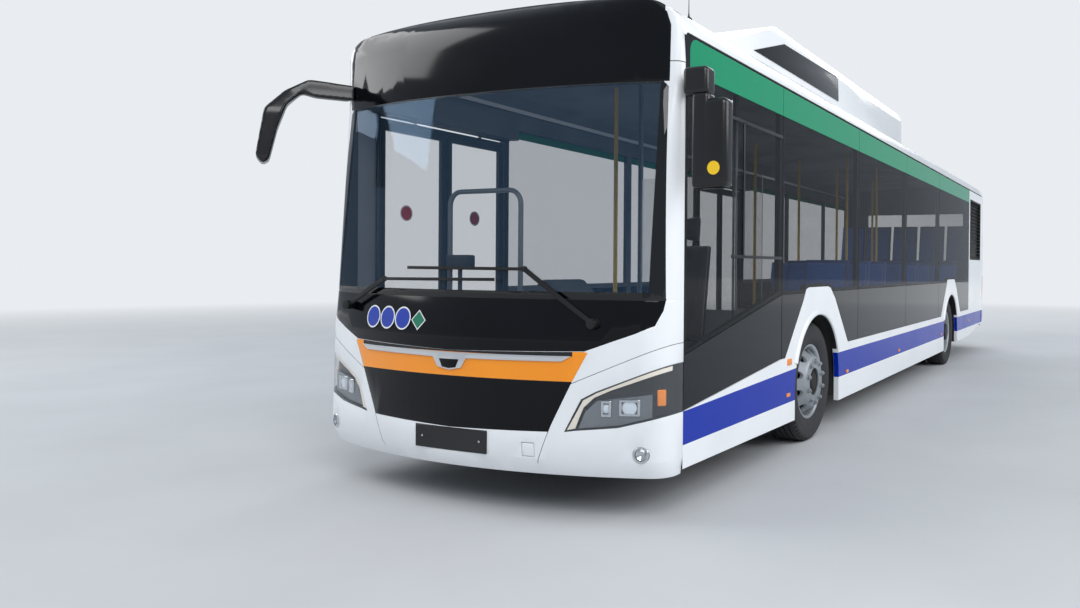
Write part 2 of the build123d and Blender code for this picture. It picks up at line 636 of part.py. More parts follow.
def make_front():
    outer = front_solid(0)
    shell = outer - front_solid(SHELL)
    glass = outer - front_solid(GLASS + 2)
    windscreen_outline = half_outline(WINDSCREEN_HALF)
    cap_outline = half_outline(CAP_HALF)
    black_outline = half_outline(BLACK_HALF)
    lower_outline = half_outline(LOWER_PANEL_HALF)
    seam_z = WINDSCREEN_LOW_Z - 3
    upper = shell & block(-HALF, HALF, FRONT_Y, FRONT_SEAM_Y, seam_z, ROOF_TOP_Z + 10)
    lower = shell & block(-HALF, HALF, FRONT_Y, FRONT_SEAM_Y, SKIRT_Z - 10, seam_z - PANEL_JOINT)
    upper -= panel_prism(windscreen_outline, PANEL_JOINT)
    upper -= panel_prism(cap_outline, PANEL_JOINT)
    lower -= panel_prism(black_outline, PANEL_JOINT)
    lower -= panel_prism(lower_outline, PANEL_JOINT)
    lower -= panel_prism(LAMP_OUTLINE, PANEL_JOINT)
    lower -= mirror(panel_prism(LAMP_OUTLINE, PANEL_JOINT), Plane.YZ)
    for side in (-1, 1):
        lower -= rod_y(FRONT_Y - 10, FRONT_SEAM_Y, side * FOG_LAMP_X, FOG_LAMP_Z,
                       FOG_LAMP_RADIUS + PANEL_JOINT)
    lower -= block(-PLATE_HALF, PLATE_HALF, FRONT_Y - 20, PLATE_Y, *PLATE_Z)
    for side in (-1, 1):
        x = side * PLATE_HOLE_SPACING / 2
        lower -= rod_y(FRONT_Y, FRONT_Y + 80, x, sum(PLATE_Z) / 2, PLATE_HOLE_RADIUS)
    lower += block(*TOW_BLOCK_X, TOW_FACE_Y, TOW_FACE_Y + TOW_EYE_DEPTH + 15, *TOW_BLOCK_Z)
    lower -= block(*TOW_BLOCK_X, FRONT_Y - 20, TOW_FACE_Y, *TOW_BLOCK_Z)
    lower -= rod_y(TOW_FACE_Y - 1, TOW_FACE_Y + TOW_EYE_DEPTH, sum(TOW_BLOCK_X) / 2, sum(TOW_BLOCK_Z) / 2,
                   TOW_EYE_RADIUS)
    windscreen = glass & panel_prism(windscreen_outline, 0)
    cap = shell & panel_prism(cap_outline, 0)
    black = shell & panel_prism(black_outline, 0)
    band = shell & panel_prism(lower_outline, 0)
    lamp = shell & panel_prism(LAMP_OUTLINE, 0)
    fog = shell & rod_y(FRONT_Y - 10, FRONT_SEAM_Y, FOG_LAMP_X, FOG_LAMP_Z, FOG_LAMP_RADIUS)
    lamps = both_sides(lamp) + both_sides(fog)
    raised = front_solid(-PANEL_JOINT - STRIP_RISE) - front_solid(-PANEL_JOINT)
    save("front_strip", raised & panel_prism(half_outline(STRIP_HALF), 0))
    return upper, lower, windscreen, cap, black, band, lamps


def make_rear():
    shell = rear_solid(0) - rear_solid(SHELL)
    flap_box = block(-ENGINE_FLAP_HALF, ENGINE_FLAP_HALF, REAR_SEAM_Y, REAR_Y + 10,
                     ENGINE_FLAP_LOW_Z, ENGINE_FLAP_TOP_Z)
    flap_half = ENGINE_FLAP_HALF + MOVING_GAP
    flap_hole = block(-flap_half, flap_half, REAR_SEAM_Y, REAR_Y + 10,
                      ENGINE_FLAP_LOW_Z - MOVING_GAP, ENGINE_FLAP_TOP_Z + MOVING_GAP)
    window_box = block(-REAR_WINDOW_HALF, REAR_WINDOW_HALF, REAR_SEAM_Y + 100, REAR_Y + 10,
                       REAR_WINDOW_LOW_Z, REAR_WINDOW_TOP_Z)
    window_half = REAR_WINDOW_HALF + PANEL_JOINT
    window_hole = block(-window_half, window_half, REAR_SEAM_Y + 100, REAR_Y + 10,
                        REAR_WINDOW_LOW_Z - PANEL_JOINT, REAR_WINDOW_TOP_Z + PANEL_JOINT)
    low, high = REAR_LAMP_Z
    lamp_y = REAR_SEAM_Y + REAR_LAMP_WRAP
    lamp_box = block(REAR_LAMP_X, HALF + 10, lamp_y, REAR_Y + 10, low, high)
    lamp_hole = block(REAR_LAMP_X - PANEL_JOINT, HALF + 10, lamp_y - PANEL_JOINT, REAR_Y + 10,
                      low - PANEL_JOINT, high + PANEL_JOINT)
    wall = shell - flap_hole - window_hole - lamp_hole - mirror(lamp_hole, Plane.YZ)
    flap = shell & flap_box
    for i in range(FLAP_SLOTS):
        z = FLAP_SLOTS_Z[0] + (FLAP_SLOTS_Z[1] - FLAP_SLOTS_Z[0]) * i / (FLAP_SLOTS - 1)
        for x in FLAP_SLOT_X:
            end = x + FLAP_SLOT_LENGTH / 2
            flap -= block(end - FLAP_SLOT_LENGTH, end, REAR_SEAM_Y, REAR_Y + 10, z - 8, z + 8)
    for x0, x1, carrier in REAR_HINGE:
        barrel = rod_x(x0, x1, REAR_HINGE_Y, REAR_HINGE_Z, REAR_HINGE_RADIUS)
        pocket = rod_x(x0 - PANEL_JOINT, x1 + PANEL_JOINT, REAR_HINGE_Y, REAR_HINGE_Z,
                       REAR_HINGE_RADIUS + PANEL_JOINT)
        if carrier == "wall":
            wall += barrel
            flap -= pocket
        else:
            flap += barrel
            wall -= pocket
    glass = (rear_solid(0) - rear_solid(GLASS + 2)) & window_box
    return wall, flap, glass, both_sides(shell & lamp_box)


def make_pod():
    base = ROOF_TOP_Z - 150
    side = [(POD_FRONT_Y - 90, base), (POD_FRONT_Y, ROOF_TOP_Z - 10), (POD_PEAK_Y - 60, POD_TOP_Z - 12),
            (POD_PEAK_Y + 60, POD_TOP_Z), (POD_REAR_Y - 90, POD_TOP_Z - 15), (POD_REAR_Y, POD_TOP_Z - 80),
            (POD_REAR_Y + 20, base)]
    section = [(POD_HALF, base), (POD_HALF, ROOF_TOP_Z + 230), (POD_HALF - 35, POD_TOP_Z - 45),
               (POD_HALF - 110, POD_TOP_Z - 12), (0, POD_TOP_Z + 5)]
    pod = prism_x(side, -POD_HALF - 10, POD_HALF + 10)
    pod &= prism_y(half_outline(section), POD_FRONT_Y - 200, POD_REAR_Y + 200)
    return pod - body_bar(-PANEL_JOINT, POD_FRONT_Y - 200, POD_REAR_Y + 200)


# The leaf turns between an arm below it and one above it
DOOR_HEAD_Z = DOOR_TOP_Z + DOOR_GAP
LOW_ARM_Z = FLOOR_TOP_Z + MOVING_GAP
HIGH_ARM_Z = DOOR_HEAD_Z - MOVING_GAP - DOOR_ARM_THICKNESS
LEAF_LOW_Z = LOW_ARM_Z + DOOR_ARM_THICKNESS + MOVING_GAP
LEAF_TOP_Z = HIGH_ARM_Z - MOVING_GAP


def leaf_frame_and_glass(y0, y1):
    x0 = -HALF + LEAF_RECESS
    x1 = x0 + LEAF_THICKNESS
    frame = block(x0, x1, y0, y1, LEAF_LOW_Z, LEAF_TOP_Z)
    pane = (y0 + LEAF_FRAME / 2, y1 - LEAF_FRAME / 2, LEAF_LOW_Z + 70, LEAF_TOP_Z - 60)
    frame -= block(x0 - 1, x1 + 1, pane[0] + 20, pane[1] - 20, pane[2] + 20, pane[3] - 20)
    frame -= block(x0 - 1, x0 + GLASS + PANEL_JOINT, pane[0] - PANEL_JOINT, pane[1] + PANEL_JOINT,
                   pane[2] - PANEL_JOINT, pane[3] + PANEL_JOINT)
    glass = block(x0, x0 + GLASS, *pane)
    return frame, glass


ARM_OFFSET = 37
ARM_HALF = 14
LUG_RADIUS = 14
LUG_HEIGHT = 14
DOOR_PIN_RADIUS = 6


def door_places(edge_y, inward):
    # edge_y is the leaf's outer edge and inward is +1 when the leaf lies behind that edge
    pillar_x = -HALF + LEAF_RECESS + LEAF_THICKNESS / 2 + ARM_OFFSET
    pillar_y = edge_y - inward * PILLAR_OFFSET
    arm = (DOOR_HALF - DOOR_GAP / 2 + PILLAR_OFFSET) / 2
    return pillar_x, pillar_y, pillar_y + inward * arm


def make_door_leaf(door_y, inward):
    edge_y = door_y - inward * DOOR_HALF
    inner_y = door_y - inward * DOOR_GAP / 2
    y0, y1 = min(edge_y, inner_y), max(edge_y, inner_y)
    frame, glass = leaf_frame_and_glass(y0, y1)
    pillar_x, pillar_y, hinge_y = door_places(edge_y, inward)
    inner_face = -HALF + LEAF_RECESS + LEAF_THICKNESS
    arm = rod_z(FLOOR_TOP_Z + PANEL_JOINT, DOOR_HEAD_Z - PANEL_JOINT, pillar_x, pillar_y, DOOR_PILLAR_RADIUS)
    y0, y1 = min(pillar_y, hinge_y), max(pillar_y, hinge_y)
    for arm_z, lug_z in ((LOW_ARM_Z, LEAF_LOW_Z), (HIGH_ARM_Z, LEAF_TOP_Z - LUG_HEIGHT)):
        arm_top = arm_z + DOOR_ARM_THICKNESS
        arm += block(pillar_x - ARM_HALF, pillar_x + ARM_HALF, y0, y1, arm_z, arm_top)
        arm += rod_z(arm_z, arm_top, pillar_x, hinge_y, ARM_HALF + 2)
        arm -= rod_z(arm_z - 1, arm_top + 1, pillar_x, hinge_y, DOOR_PIN_RADIUS + RUNNING_FIT)
        frame += block(inner_face - 2, pillar_x, hinge_y - LUG_RADIUS, hinge_y + LUG_RADIUS,
                       lug_z, lug_z + LUG_HEIGHT)
        frame += rod_z(lug_z, lug_z + LUG_HEIGHT, pillar_x, hinge_y, LUG_RADIUS)
        frame += rod_z(min(arm_z, lug_z + 1), max(arm_top, lug_z + 1), pillar_x, hinge_y, DOOR_PIN_RADIUS)
    return frame, glass, arm


def front_face_y(x, z):
    for lower, upper in zip(FRONT_SECTIONS[:-1], FRONT_SECTIONS[1:]):
        if lower[0] <= z <= upper[0]:
            share = (z - lower[0]) / (upper[0] - lower[0])
            setback = lower[1] + share * (upper[1] - lower[1])
            bow = lower[3] + share * (upper[3] - lower[3])
    radius = (HALF ** 2 + bow ** 2) / (2 * bow)
    return FRONT_Y + setback + radius - sqrt(radius ** 2 - x ** 2)


def ceiling_z(x):
    inset = ROOF_TOP_Z - CEILING_Z
    shoulder = roof_outline(inset)[2]
    rise = CEILING_Z - shoulder[1]
    radius = (shoulder[0] ** 2 + rise ** 2) / (2 * rise)
    return CEILING_Z - radius + sqrt(radius ** 2 - x ** 2)


STEERING_WHEEL_RADIUS = 225
STEERING_RIM_RADIUS = 15
STEERING_TILT_DEG = 28
COLUMN_RADIUS = 28
COLUMN_LENGTH = 330
DRIVER_X = 720
STEERING_WHEEL_Y = -5330
STEERING_WHEEL_Z = 1130


def steering_place():
    return Pos(DRIVER_X, STEERING_WHEEL_Y, STEERING_WHEEL_Z) * Rot(-STEERING_TILT_DEG, 0, 0)


def make_dashboard():
    hood = [(-5700, 720), (-5700, 1120), (-5600, 1150), (-5420, 1040), (-5420, 980), (-5560, 940),
            (-5560, 720)]
    dash = prism_x(hood, -150, 1130)
    dash += block(-150, 1130, -5640, -5600, FLOOR_TOP_Z + PANEL_JOINT, 721)
    dash += block(DRIVER_X - 120, DRIVER_X + 120, -5601, -5480, FLOOR_TOP_Z + PANEL_JOINT, 950)
    column = Cylinder(COLUMN_RADIUS + PANEL_JOINT, 2 * COLUMN_LENGTH + 1)
    return dash - steering_place() * Pos(0, 0, -COLUMN_LENGTH) * column


def make_steering_wheel():
    place = steering_place()
    section = Plane.XZ * Pos(STEERING_WHEEL_RADIUS, 0) * RegularPolygon(STEERING_RIM_RADIUS, 8)
    wheel = place * revolve(section, Axis.Z)
    wheel += place * Box(2 * STEERING_WHEEL_RADIUS - 10, 36, 12)
    wheel += place * Cylinder(55, 36)
    return wheel + place * Pos(0, 0, -COLUMN_LENGTH / 2) * Cylinder(COLUMN_RADIUS, COLUMN_LENGTH)


def seat_solid(x, y, z, facing):
    side = [(0, 0), (0.44, 0.02), (0.44, 0.07), (0.07, 0.06), (-0.06, 0.72), (-0.1, 0.72)]
    points = [(y + facing * -1000 * a, z + 1000 * b) for a, b in side]
    return prism_x(points, x - 215, x + 215)


# Seats: x, y of the backrest's foot, height of the pan's underside, facing -1 rearwards or 1 forwards
SEATS = (
    (960, -2240, 760, 1), (960, -1500, 760, 1), (960, -830, 760, 1), (960, 0, 760, 1), (960, 830, 760, 1),
    (500, -1500, 760, 1), (500, -830, 760, 1), (500, 0, 760, 1), (500, 830, 760, 1),
    (-960, -1500, 760, 1), (-960, 1650, 760, 1), (960, 1650, 760, 1),
    (960, 3640, 760, 1), (-960, 3640, 760, 1), (500, 3640, 760, 1), (-500, 3640, 760, 1),
    (-960, 5200, 1440, 1), (-480, 5200, 1440, 1), (0, 5200, 1440, 1), (480, 5200, 1440, 1),
    (960, 5200, 1440, 1),
)


def make_seats():
    seats = []
    for x, y, z, facing in SEATS:
        floor_z = (PLATFORM_Z if y > ENGINE_BAY_Y else FLOOR_TOP_Z) + PANEL_JOINT
        leg_y = y - facing * 300
        leg = block(x - 150, x + 150, leg_y - 40, leg_y + 40, floor_z, z + 30)
        seats.append(seat_solid(x, y, z, facing) + leg)
    return seats


RAIL_RADIUS = 17
RAIL_PLACES = ((-300, -3900), (240, -1500), (-420, -700), (-420, 800), (240, 830), (-300, 2100), (300, 2100),
               (-250, 3900))


def make_rails():
    rails = []
    for x, y in RAIL_PLACES:
        top = ceiling_z(abs(x) + RAIL_RADIUS) - PANEL_JOINT
        rails.append(rod_z(FLOOR_TOP_Z + PANEL_JOINT, top, x, y, RAIL_RADIUS))
    return rails


def make_driver_seat():
    x, y = 720, -4790
    base = block(x - 150, x + 150, y - 330, y - 60, FLOOR_TOP_Z + PANEL_JOINT, 800)
    pan = block(x - 240, x + 240, y - 420, y + 40, 799, 900)
    back = prism_x([(y - 20, 880), (y + 90, 880), (y + 190, 1560), (y + 100, 1580)], x - 235, x + 235)
    head = prism_x([(y + 100, 1575), (y + 190, 1555), (y + 215, 1760), (y + 125, 1765)], x - 130, x + 130)
    return base + pan + back + head


PARTITION_Y = -4420
PARTITION_X = (250, 1020)


def make_partition():
    x0, x1 = PARTITION_X
    floor = FLOOR_TOP_Z + PANEL_JOINT
    wall = block(x0, HALF - WALL - PANEL_JOINT, PARTITION_Y - 15, PARTITION_Y + 15, floor, 1100)
    wall += block(x0, HALF - WALL - PANEL_JOINT, PARTITION_Y - 5, PARTITION_Y + 5, 1099, 2050)
    for x in PARTITION_X:
        wall += rod_z(floor, ceiling_z(x + 19) - PANEL_JOINT, x, PARTITION_Y, 19)
    return wall


def rounded_block(x0, x1, y0, y1, z0, z1, radius):
    solid = block(x0, x1, y0, y1, z0, z1)
    return fillet(solid.edges().filter_by(Axis.Z), radius)


LEFT_MIRROR_Y = -5705


def make_left_mirror():
    y = LEFT_MIRROR_Y
    body = rounded_block(1335, 1580, y - 62, y + 50, 1825, 2334, 38)
    cap = rounded_block(1310, 1462, y - 58, y + 58, 2333, 2490, 34)
    root = block(HALF + PANEL_JOINT, 1345, FRONT_SEAM_Y + 4, FRONT_SEAM_Y + 70, 2360, 2460)
    return body + cap + root


# The right mirror's arm and head are one moulding: a hooked outline as distance outwards and height,
# and its width across that outline at each height
HOOK_PLACE = (-1450, -6050, 0)
HOOK_OUTWARDS = (-0.6, -0.8, 0)
HOOK_ACROSS = (-0.8, 0.6, 0)
HOOK_OUTLINE = ((-470, 2590), (-150, 2607), (-10, 2520), (105, 2390), (152, 2085), (114, 2033), (75, 2060),
                (28, 2270), (-25, 2425), (-110, 2508), (-191, 2490), (-470, 2488))
HOOK_WIDTH = ((-36, 2640), (36, 2640), (40, 2520), (98, 2380), (98, 2070), (80, 2020), (-80, 2020),
              (-98, 2070), (-98, 2380), (-40, 2520))
HOOK_ROUNDING = 13


def make_right_mirror():
    outline = make_face(Polyline(*HOOK_OUTLINE, close=True))
    outline = fillet([v for v in outline.vertices() if v.X > HOOK_OUTLINE[0][0] + 1], HOOK_ROUNDING)
    width = make_face(Polyline(*HOOK_WIDTH, close=True))
    hook = extrude(Plane(HOOK_PLACE, x_dir=HOOK_OUTWARDS, z_dir=HOOK_ACROSS) * outline, amount=150, both=True)
    across = Plane(HOOK_PLACE, x_dir=HOOK_ACROSS, z_dir=[-v for v in HOOK_OUTWARDS])
    hook &= extrude(across * width, amount=600, both=True)
    hook -= front_solid(-PANEL_JOINT)
    return max(hook.solids(), key=lambda solid: solid.volume)


def surface_point(x, z, off):
    return x, front_face_y(x, z) - off, z


def surface_bar(start, end, off, width, thickness):
    middle = ((start[0] + end[0]) / 2, (start[1] + end[1]) / 2)
    path = ThreePointArc(*[surface_point(x, z, off) for x, z in (start, middle, end)])
    section = Plane(path @ 0, x_dir=(0, 1, 0), z_dir=path % 0) * Rectangle(thickness, width)
    return sweep(section, path=path)


# Wipers as x and z: pivot, elbow at the blade's inner end, and the blade's tip
WIPERS = (
    ((896, 1094), (478, 1385), (-365, 1387)),
    ((-930, 1150), (-560, 1318), (302, 1325)),
)
WIPER_BOSS_RADIUS = 28
WIPER_OFF = (22, 38)


def make_wipers():
    wipers = []
    skin = front_solid(-PANEL_JOINT)
    for index, (pivot, elbow, tip) in enumerate(WIPERS):
        off = WIPER_OFF[index]
        face = front_face_y(abs(pivot[0]) - WIPER_BOSS_RADIUS, pivot[1] - WIPER_BOSS_RADIUS)
        boss = rod_y(face - off - 14, face + 60, pivot[0], pivot[1], WIPER_BOSS_RADIUS)
        arm = surface_bar(pivot, elbow, off, 26, 10)
        blade = surface_bar(elbow, tip, off, 18, 14)
        x, y, z = surface_point(*elbow, off)
        joint = rod_y(y - 8, y + 8, x, z, 16)
        wipers.append(max((boss + arm + blade + joint - skin).solids(), key=lambda solid: solid.volume))
    return wipers


left_wall, left_panes = make_left_side()
right_wall, right_panes = make_right_side()
pillars, mask, windscreen, cap, black_panel, lower_panel, headlamps = make_front()
rear_wall, engine_flap, rear_window, tail_lamps = make_rear()

save("underframe", make_underframe())
save("roof", make_roof())
save("left_wall", left_wall)
save("right_wall", right_wall)
save("side_windows", left_panes + right_panes)
save("front_pillars", pillars)
save("front_mask", mask)
save("windscreen", windscreen)
save("display_cap", cap)
save("front_black_panel", black_panel)
save("front_lower_panel", lower_panel)
save("headlamps", headlamps)
save("rear_wall", rear_wall)
save("engine_flap", engine_flap)
save("rear_window", rear_window)
save("tail_lamps", tail_lamps)
save("gas_pod", make_pod())
save("axles", make_axles())
save("dashboard", make_dashboard())
save("steering_wheel", make_steering_wheel())
save("driver_seat", make_driver_seat())
save("cab_partition", make_partition())
save("passenger_seats", make_seats())
save("handrails", make_rails())
save("engine", make_engine())
save("louvre", make_louvre())
save("left_mirror", make_left_mirror())
save("right_mirror", make_right_mirror())
save("wipers", make_wipers())

tyre_form = make_tyre()
rim_form = make_rim()
front_tyre = Pos(FRONT_TYRE_X, FRONT_AXLE_Y, TYRE_RADIUS) * tyre_form
front_rim = make_front_rim(rim_form)
knuckle = make_knuckle()
rear_tyres = [Pos(x, REAR_AXLE_Y, TYRE_RADIUS) * tyre_form for x in (FRONT_TYRE_X, TWIN_INNER_X)]
rear_rims = make_rear_rims(rim_form)
for name, side in (("left", 1), ("right", -1)):
    def sided(shapes):
        return [s if side > 0 else mirror(s, Plane.YZ) for s in shapes]
    save(f"front_tyre_{name}", sided([front_tyre]))
    save(f"front_rim_{name}", sided([front_rim]))
    save(f"knuckle_{name}", sided([knuckle]))
    save(f"rear_tyres_{name}", sided(rear_tyres))
    save(f"rear_rims_{name}", sided(rear_rims))

for door, door_y in (("front", FRONT_DOOR_Y), ("middle", MIDDLE_DOOR_Y)):
    for leaf, inward in (("a", 1), ("b", -1)):
        frame, glass, arm = make_door_leaf(door_y, inward)
        save(f"{door}_door_leaf_{leaf}", frame)
        save(f"{door}_door_glass_{leaf}", glass)
        save(f"{door}_door_arm_{leaf}", arm)
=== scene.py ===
from math import cos, hypot, pi, radians, sin
import bpy
from mathutils import Matrix, Vector


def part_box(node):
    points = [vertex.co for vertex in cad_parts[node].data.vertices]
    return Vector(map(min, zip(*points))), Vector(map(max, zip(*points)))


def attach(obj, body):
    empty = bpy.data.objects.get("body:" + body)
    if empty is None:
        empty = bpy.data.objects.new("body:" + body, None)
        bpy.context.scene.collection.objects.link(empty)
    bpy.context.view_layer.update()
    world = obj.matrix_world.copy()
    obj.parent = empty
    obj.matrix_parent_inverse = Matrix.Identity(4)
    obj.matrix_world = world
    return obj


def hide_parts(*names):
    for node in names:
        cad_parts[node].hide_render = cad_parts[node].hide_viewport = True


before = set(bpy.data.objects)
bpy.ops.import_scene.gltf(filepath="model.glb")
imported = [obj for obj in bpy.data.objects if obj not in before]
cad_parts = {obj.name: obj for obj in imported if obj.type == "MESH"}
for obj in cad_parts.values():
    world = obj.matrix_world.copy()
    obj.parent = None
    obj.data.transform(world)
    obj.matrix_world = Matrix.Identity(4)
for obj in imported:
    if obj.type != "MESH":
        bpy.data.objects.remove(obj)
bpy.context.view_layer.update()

# Camera
# A phone's view from in front of the bus and to its left, at 1.4 m above the road.
# The lens and the shift are those that put the wheels, the skirt and the front's edges where they are seen.
FOCAL_PX = 834.8
PHOTO_WIDTH, PHOTO_HEIGHT = 1080, 608
PRINCIPAL_PX = (742.1, 273.3)
EYE = (3.463, -9.767, 1.406)
YAW, PITCH, ROLL = radians(24.03), radians(-0.43), radians(0.49)
turn = Matrix.Rotation(YAW, 3, "Z") @ Matrix.Rotation(pi / 2 + PITCH, 3, "X") @ Matrix.Rotation(ROLL, 3, "Z")


def deselect():
    bpy.ops.object.select_all(action="DESELECT")


deselect()
bpy.ops.object.camera_add(location=EYE, rotation=turn.to_euler())
camera = bpy.context.object
camera.data.sensor_width = 36
camera.data.lens = FOCAL_PX / PHOTO_WIDTH * 36
camera.data.shift_x = (PHOTO_WIDTH / 2 - PRINCIPAL_PX[0]) / PHOTO_WIDTH
camera.data.shift_y = (PRINCIPAL_PX[1] - PHOTO_HEIGHT / 2) / PHOTO_WIDTH
camera.data.clip_end = 300
bpy.context.scene.camera = camera
bpy.context.scene.view_settings.view_transform = "Standard"


# Floor and surroundings
# A pale studio floor that keeps the bus's shadow and fades into a pale backdrop, which glass and paint mirror.
# Below, linear reads a hex colour, fill sets a node's inputs and node adds one with its settings and links.
def linear(code):
    parts = [int(code[i:i + 2], 16) / 255 for i in (1, 3, 5)]
    return tuple(c / 12.92 if c <= 0.04045 else ((c + 0.055) / 1.055) ** 2.4 for c in parts) + (1,)


def fill(tree, made, inputs):
    # An input takes a hex colour, a value, a socket, or the first output in use of another node
    for name, value in inputs.items():
        if isinstance(value, bpy.types.Node):
            value = next(socket for socket in value.outputs if socket.enabled)
        if isinstance(value, bpy.types.NodeSocket):
            tree.links.new(value, made.inputs[name])
        else:
            made.inputs[name].default_value = linear(value) if isinstance(value, str) else value


def node(tree, kind, inputs, **settings):
    made = tree.nodes.new("ShaderNode" + kind)
    for name, value in settings.items():
        setattr(made, name, value)
    fill(tree, made, inputs)
    return made


def new_material(name):
    material = bpy.data.materials.new(name)
    material.use_nodes = True
    tree = material.node_tree
    return material, tree, tree.nodes["Principled BSDF"], node(tree, "TexCoord", {}).outputs["Object"]


BACKDROP = "#E9EDF1"
world = bpy.data.worlds.new("pale studio")
bpy.context.scene.world = world
world.use_nodes = True
sky = world.node_tree
path = node(sky, "LightPath", {}).outputs
seen = node(sky, "Math", {0: path["Is Camera Ray"], 1: path["Is Transmission Ray"]}, operation="MAXIMUM")
lit = node(sky, "Background", {"Color": "#DDE6F2", "Strength": 0.62})
shown = node(sky, "Background", {"Color": BACKDROP, "Strength": 1.0})
fill(sky, sky.nodes["World Output"], {"Surface": node(sky, "MixShader", {0: seen, 1: lit, 2: shown})})

deselect()
bpy.ops.mesh.primitive_plane_add(size=160, location=(0, 0, -0.001))
floor = bpy.context.object
floor.name = "floor"
floor_paint, tree, shader, place = new_material("pale floor")
cloud = node(tree, "TexNoise", {"Vector": place, "Scale": 0.8, "Detail": 6})
tint = node(tree, "Mix", {"Factor": cloud, "A": "#BFC1C3", "B": "#CFD1D3"}, data_type="RGBA")
fill(tree, shader, {"Base Color": tint, "Roughness": 0.8})
far = node(tree, "VectorMath", {0: place}, operation="LENGTH")
fade = node(tree, "MapRange", {"Value": far, "From Min": 9.0, "From Max": 26.0})
glow = node(tree, "Emission", {"Color": BACKDROP, "Strength": 1.0})
fill(tree, tree.nodes["Material Output"], {"Surface": node(tree, "MixShader", {0: fade, 1: shader, 2: glow})})
floor.data.materials.append(floor_paint)

# Four broad soft boxes: the key over the front left, a long one along the left, one front right, one behind
for place, size, watts in (((9, -14, 11), (9, 9), 1190), ((16, 2, 9), (16, 8), 1320),
                           ((-12, -9, 9), (8, 8), 790), ((-4, 16, 11), (12, 8), 790)):
    aim = Vector((0, -2 if place[1] < 0 else 2, 1.2)) - Vector(place)
    bpy.ops.object.light_add(type="AREA", location=place, rotation=aim.to_track_quat("-Z", "Y").to_euler())
    lamp = bpy.context.object.data
    lamp.shape = "RECTANGLE"
    lamp.size, lamp.size_y = size
    lamp.energy = watts


# White body panels
# Glass-fibre and sheet panels, sprayed and baked: a clear gloss coat with a faint orange peel.
# Blue runs along the skirt, what lies behind the glued glass is primed black, the underside of each door's
# header is black as painted shade, and the inside is lined in grey.
def alone(piece):
    deselect()
    piece.select_set(True)
    bpy.context.view_layer.objects.active = piece


def edit_all():
    bpy.ops.object.mode_set(mode="EDIT")
    bpy.ops.mesh.select_all(action="SELECT")


def leave_edit():
    bpy.ops.object.mode_set(mode="OBJECT")


def copied(part, name):
    alone(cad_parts[part])
    bpy.ops.object.duplicate()
    piece = bpy.context.object
    piece.parent = None
    piece.name = name
    for key in list(piece.keys()):
        if key.startswith("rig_"):
            del piece[key]
    piece.data.materials.clear()
    edit_all()
    bpy.ops.mesh.remove_doubles(threshold=0.00002)
    bpy.ops.mesh.dissolve_limited(angle_limit=radians(0.3), use_dissolve_boundaries=False)
    leave_edit()
    if piece.data.has_custom_normals:
        bpy.ops.mesh.customdata_custom_splitnormals_clear()
    return piece


def modified(piece, kind, **settings):
    alone(piece)
    modifier = piece.modifiers.new(kind.lower(), kind)
    for name, value in settings.items():
        setattr(modifier, name, value)
    bpy.ops.object.modifier_apply(modifier=modifier.name)


def rounded(piece, width, segments, sharpest=30):
    modified(piece, "BEVEL", width=width, segments=segments, limit_method="ANGLE",
             angle_limit=radians(sharpest))


def finished(piece, material, body="bus_body", smooth=32):
    alone(piece)
    bpy.ops.object.transform_apply()
    bpy.ops.object.shade_smooth_by_angle(angle=radians(smooth))
    if material:
        piece.data.materials.clear()
        piece.data.materials.append(material)
    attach(piece, body)


def relined(part, name, material, edge=0.0015, body="bus_body"):
    piece = copied(part, name)
    if edge:
        rounded(piece, edge, 2, 40)
    finished(piece, material, body)
    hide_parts(part)
    return piece


def flat_lit(piece):
    # Broad flat faces keep their own shading up to the rounded edges
    modified(piece, "WEIGHTED_NORMAL", keep_sharp=True)


def zoned(piece, material, test):
    piece.data.materials.append(material)
    for face in piece.data.polygons:
        if test(face.center, face.normal):
            face.material_index = len(piece.data.materials) - 1


def split_at(piece, point, normal):
    alone(piece)
    edit_all()
    bpy.ops.mesh.bisect(plane_co=point, plane_no=normal)
    leave_edit()


def grained(tree, shader, place, scale, detail, strength, depth=0.001):
    # A fine relief of noise over the piece's own coordinates
    noise = node(tree, "TexNoise", {"Vector": place, "Scale": scale, "Detail": detail})
    bump = node(tree, "Bump", {"Height": noise, "Strength": strength, "Distance": depth})
    fill(tree, shader, {"Normal": bump})


def coated(name, clean, worn, roughness, grain_mm, relief, settings=None):
    # A fine grain, and broad patches where colour and gloss have worn
    material, tree, shader, place = new_material(name)
    patch = node(tree, "TexNoise", {"Vector": place, "Scale": 1.6, "Detail": 6})
    wear = node(tree, "MapRange", {"Value": patch, "From Min": 0.42, "From Max": 0.68})
    tint = node(tree, "Mix", {"Factor": wear, "A": clean, "B": worn}, data_type="RGBA")
    gloss = node(tree, "MapRange", {"Value": wear, "To Min": roughness, "To Max": roughness * 1.3})
    fill(tree, shader, {"Base Color": tint, "Roughness": gloss, **(settings or {})})
    grained(tree, shader, place, 1000 / grain_mm, 2, relief)
    return material


CLEAR_COAT = {"Coat Weight": 0.3, "Coat Roughness": 0.04}
WHITE = "#EDEFF1"
white_paint = coated("white bodywork", WHITE, "#E6E9EB", 0.2, 9, 0.04, CLEAR_COAT)
grey_lining = coated("grey cabin lining", "#6E7378", "#62676C", 0.6, 1.5, 0.25)
primer_and_shade_black = coated("black glass primer and painted shade", "#0B0C0E", "#101214", 0.5, 2, 0.1)

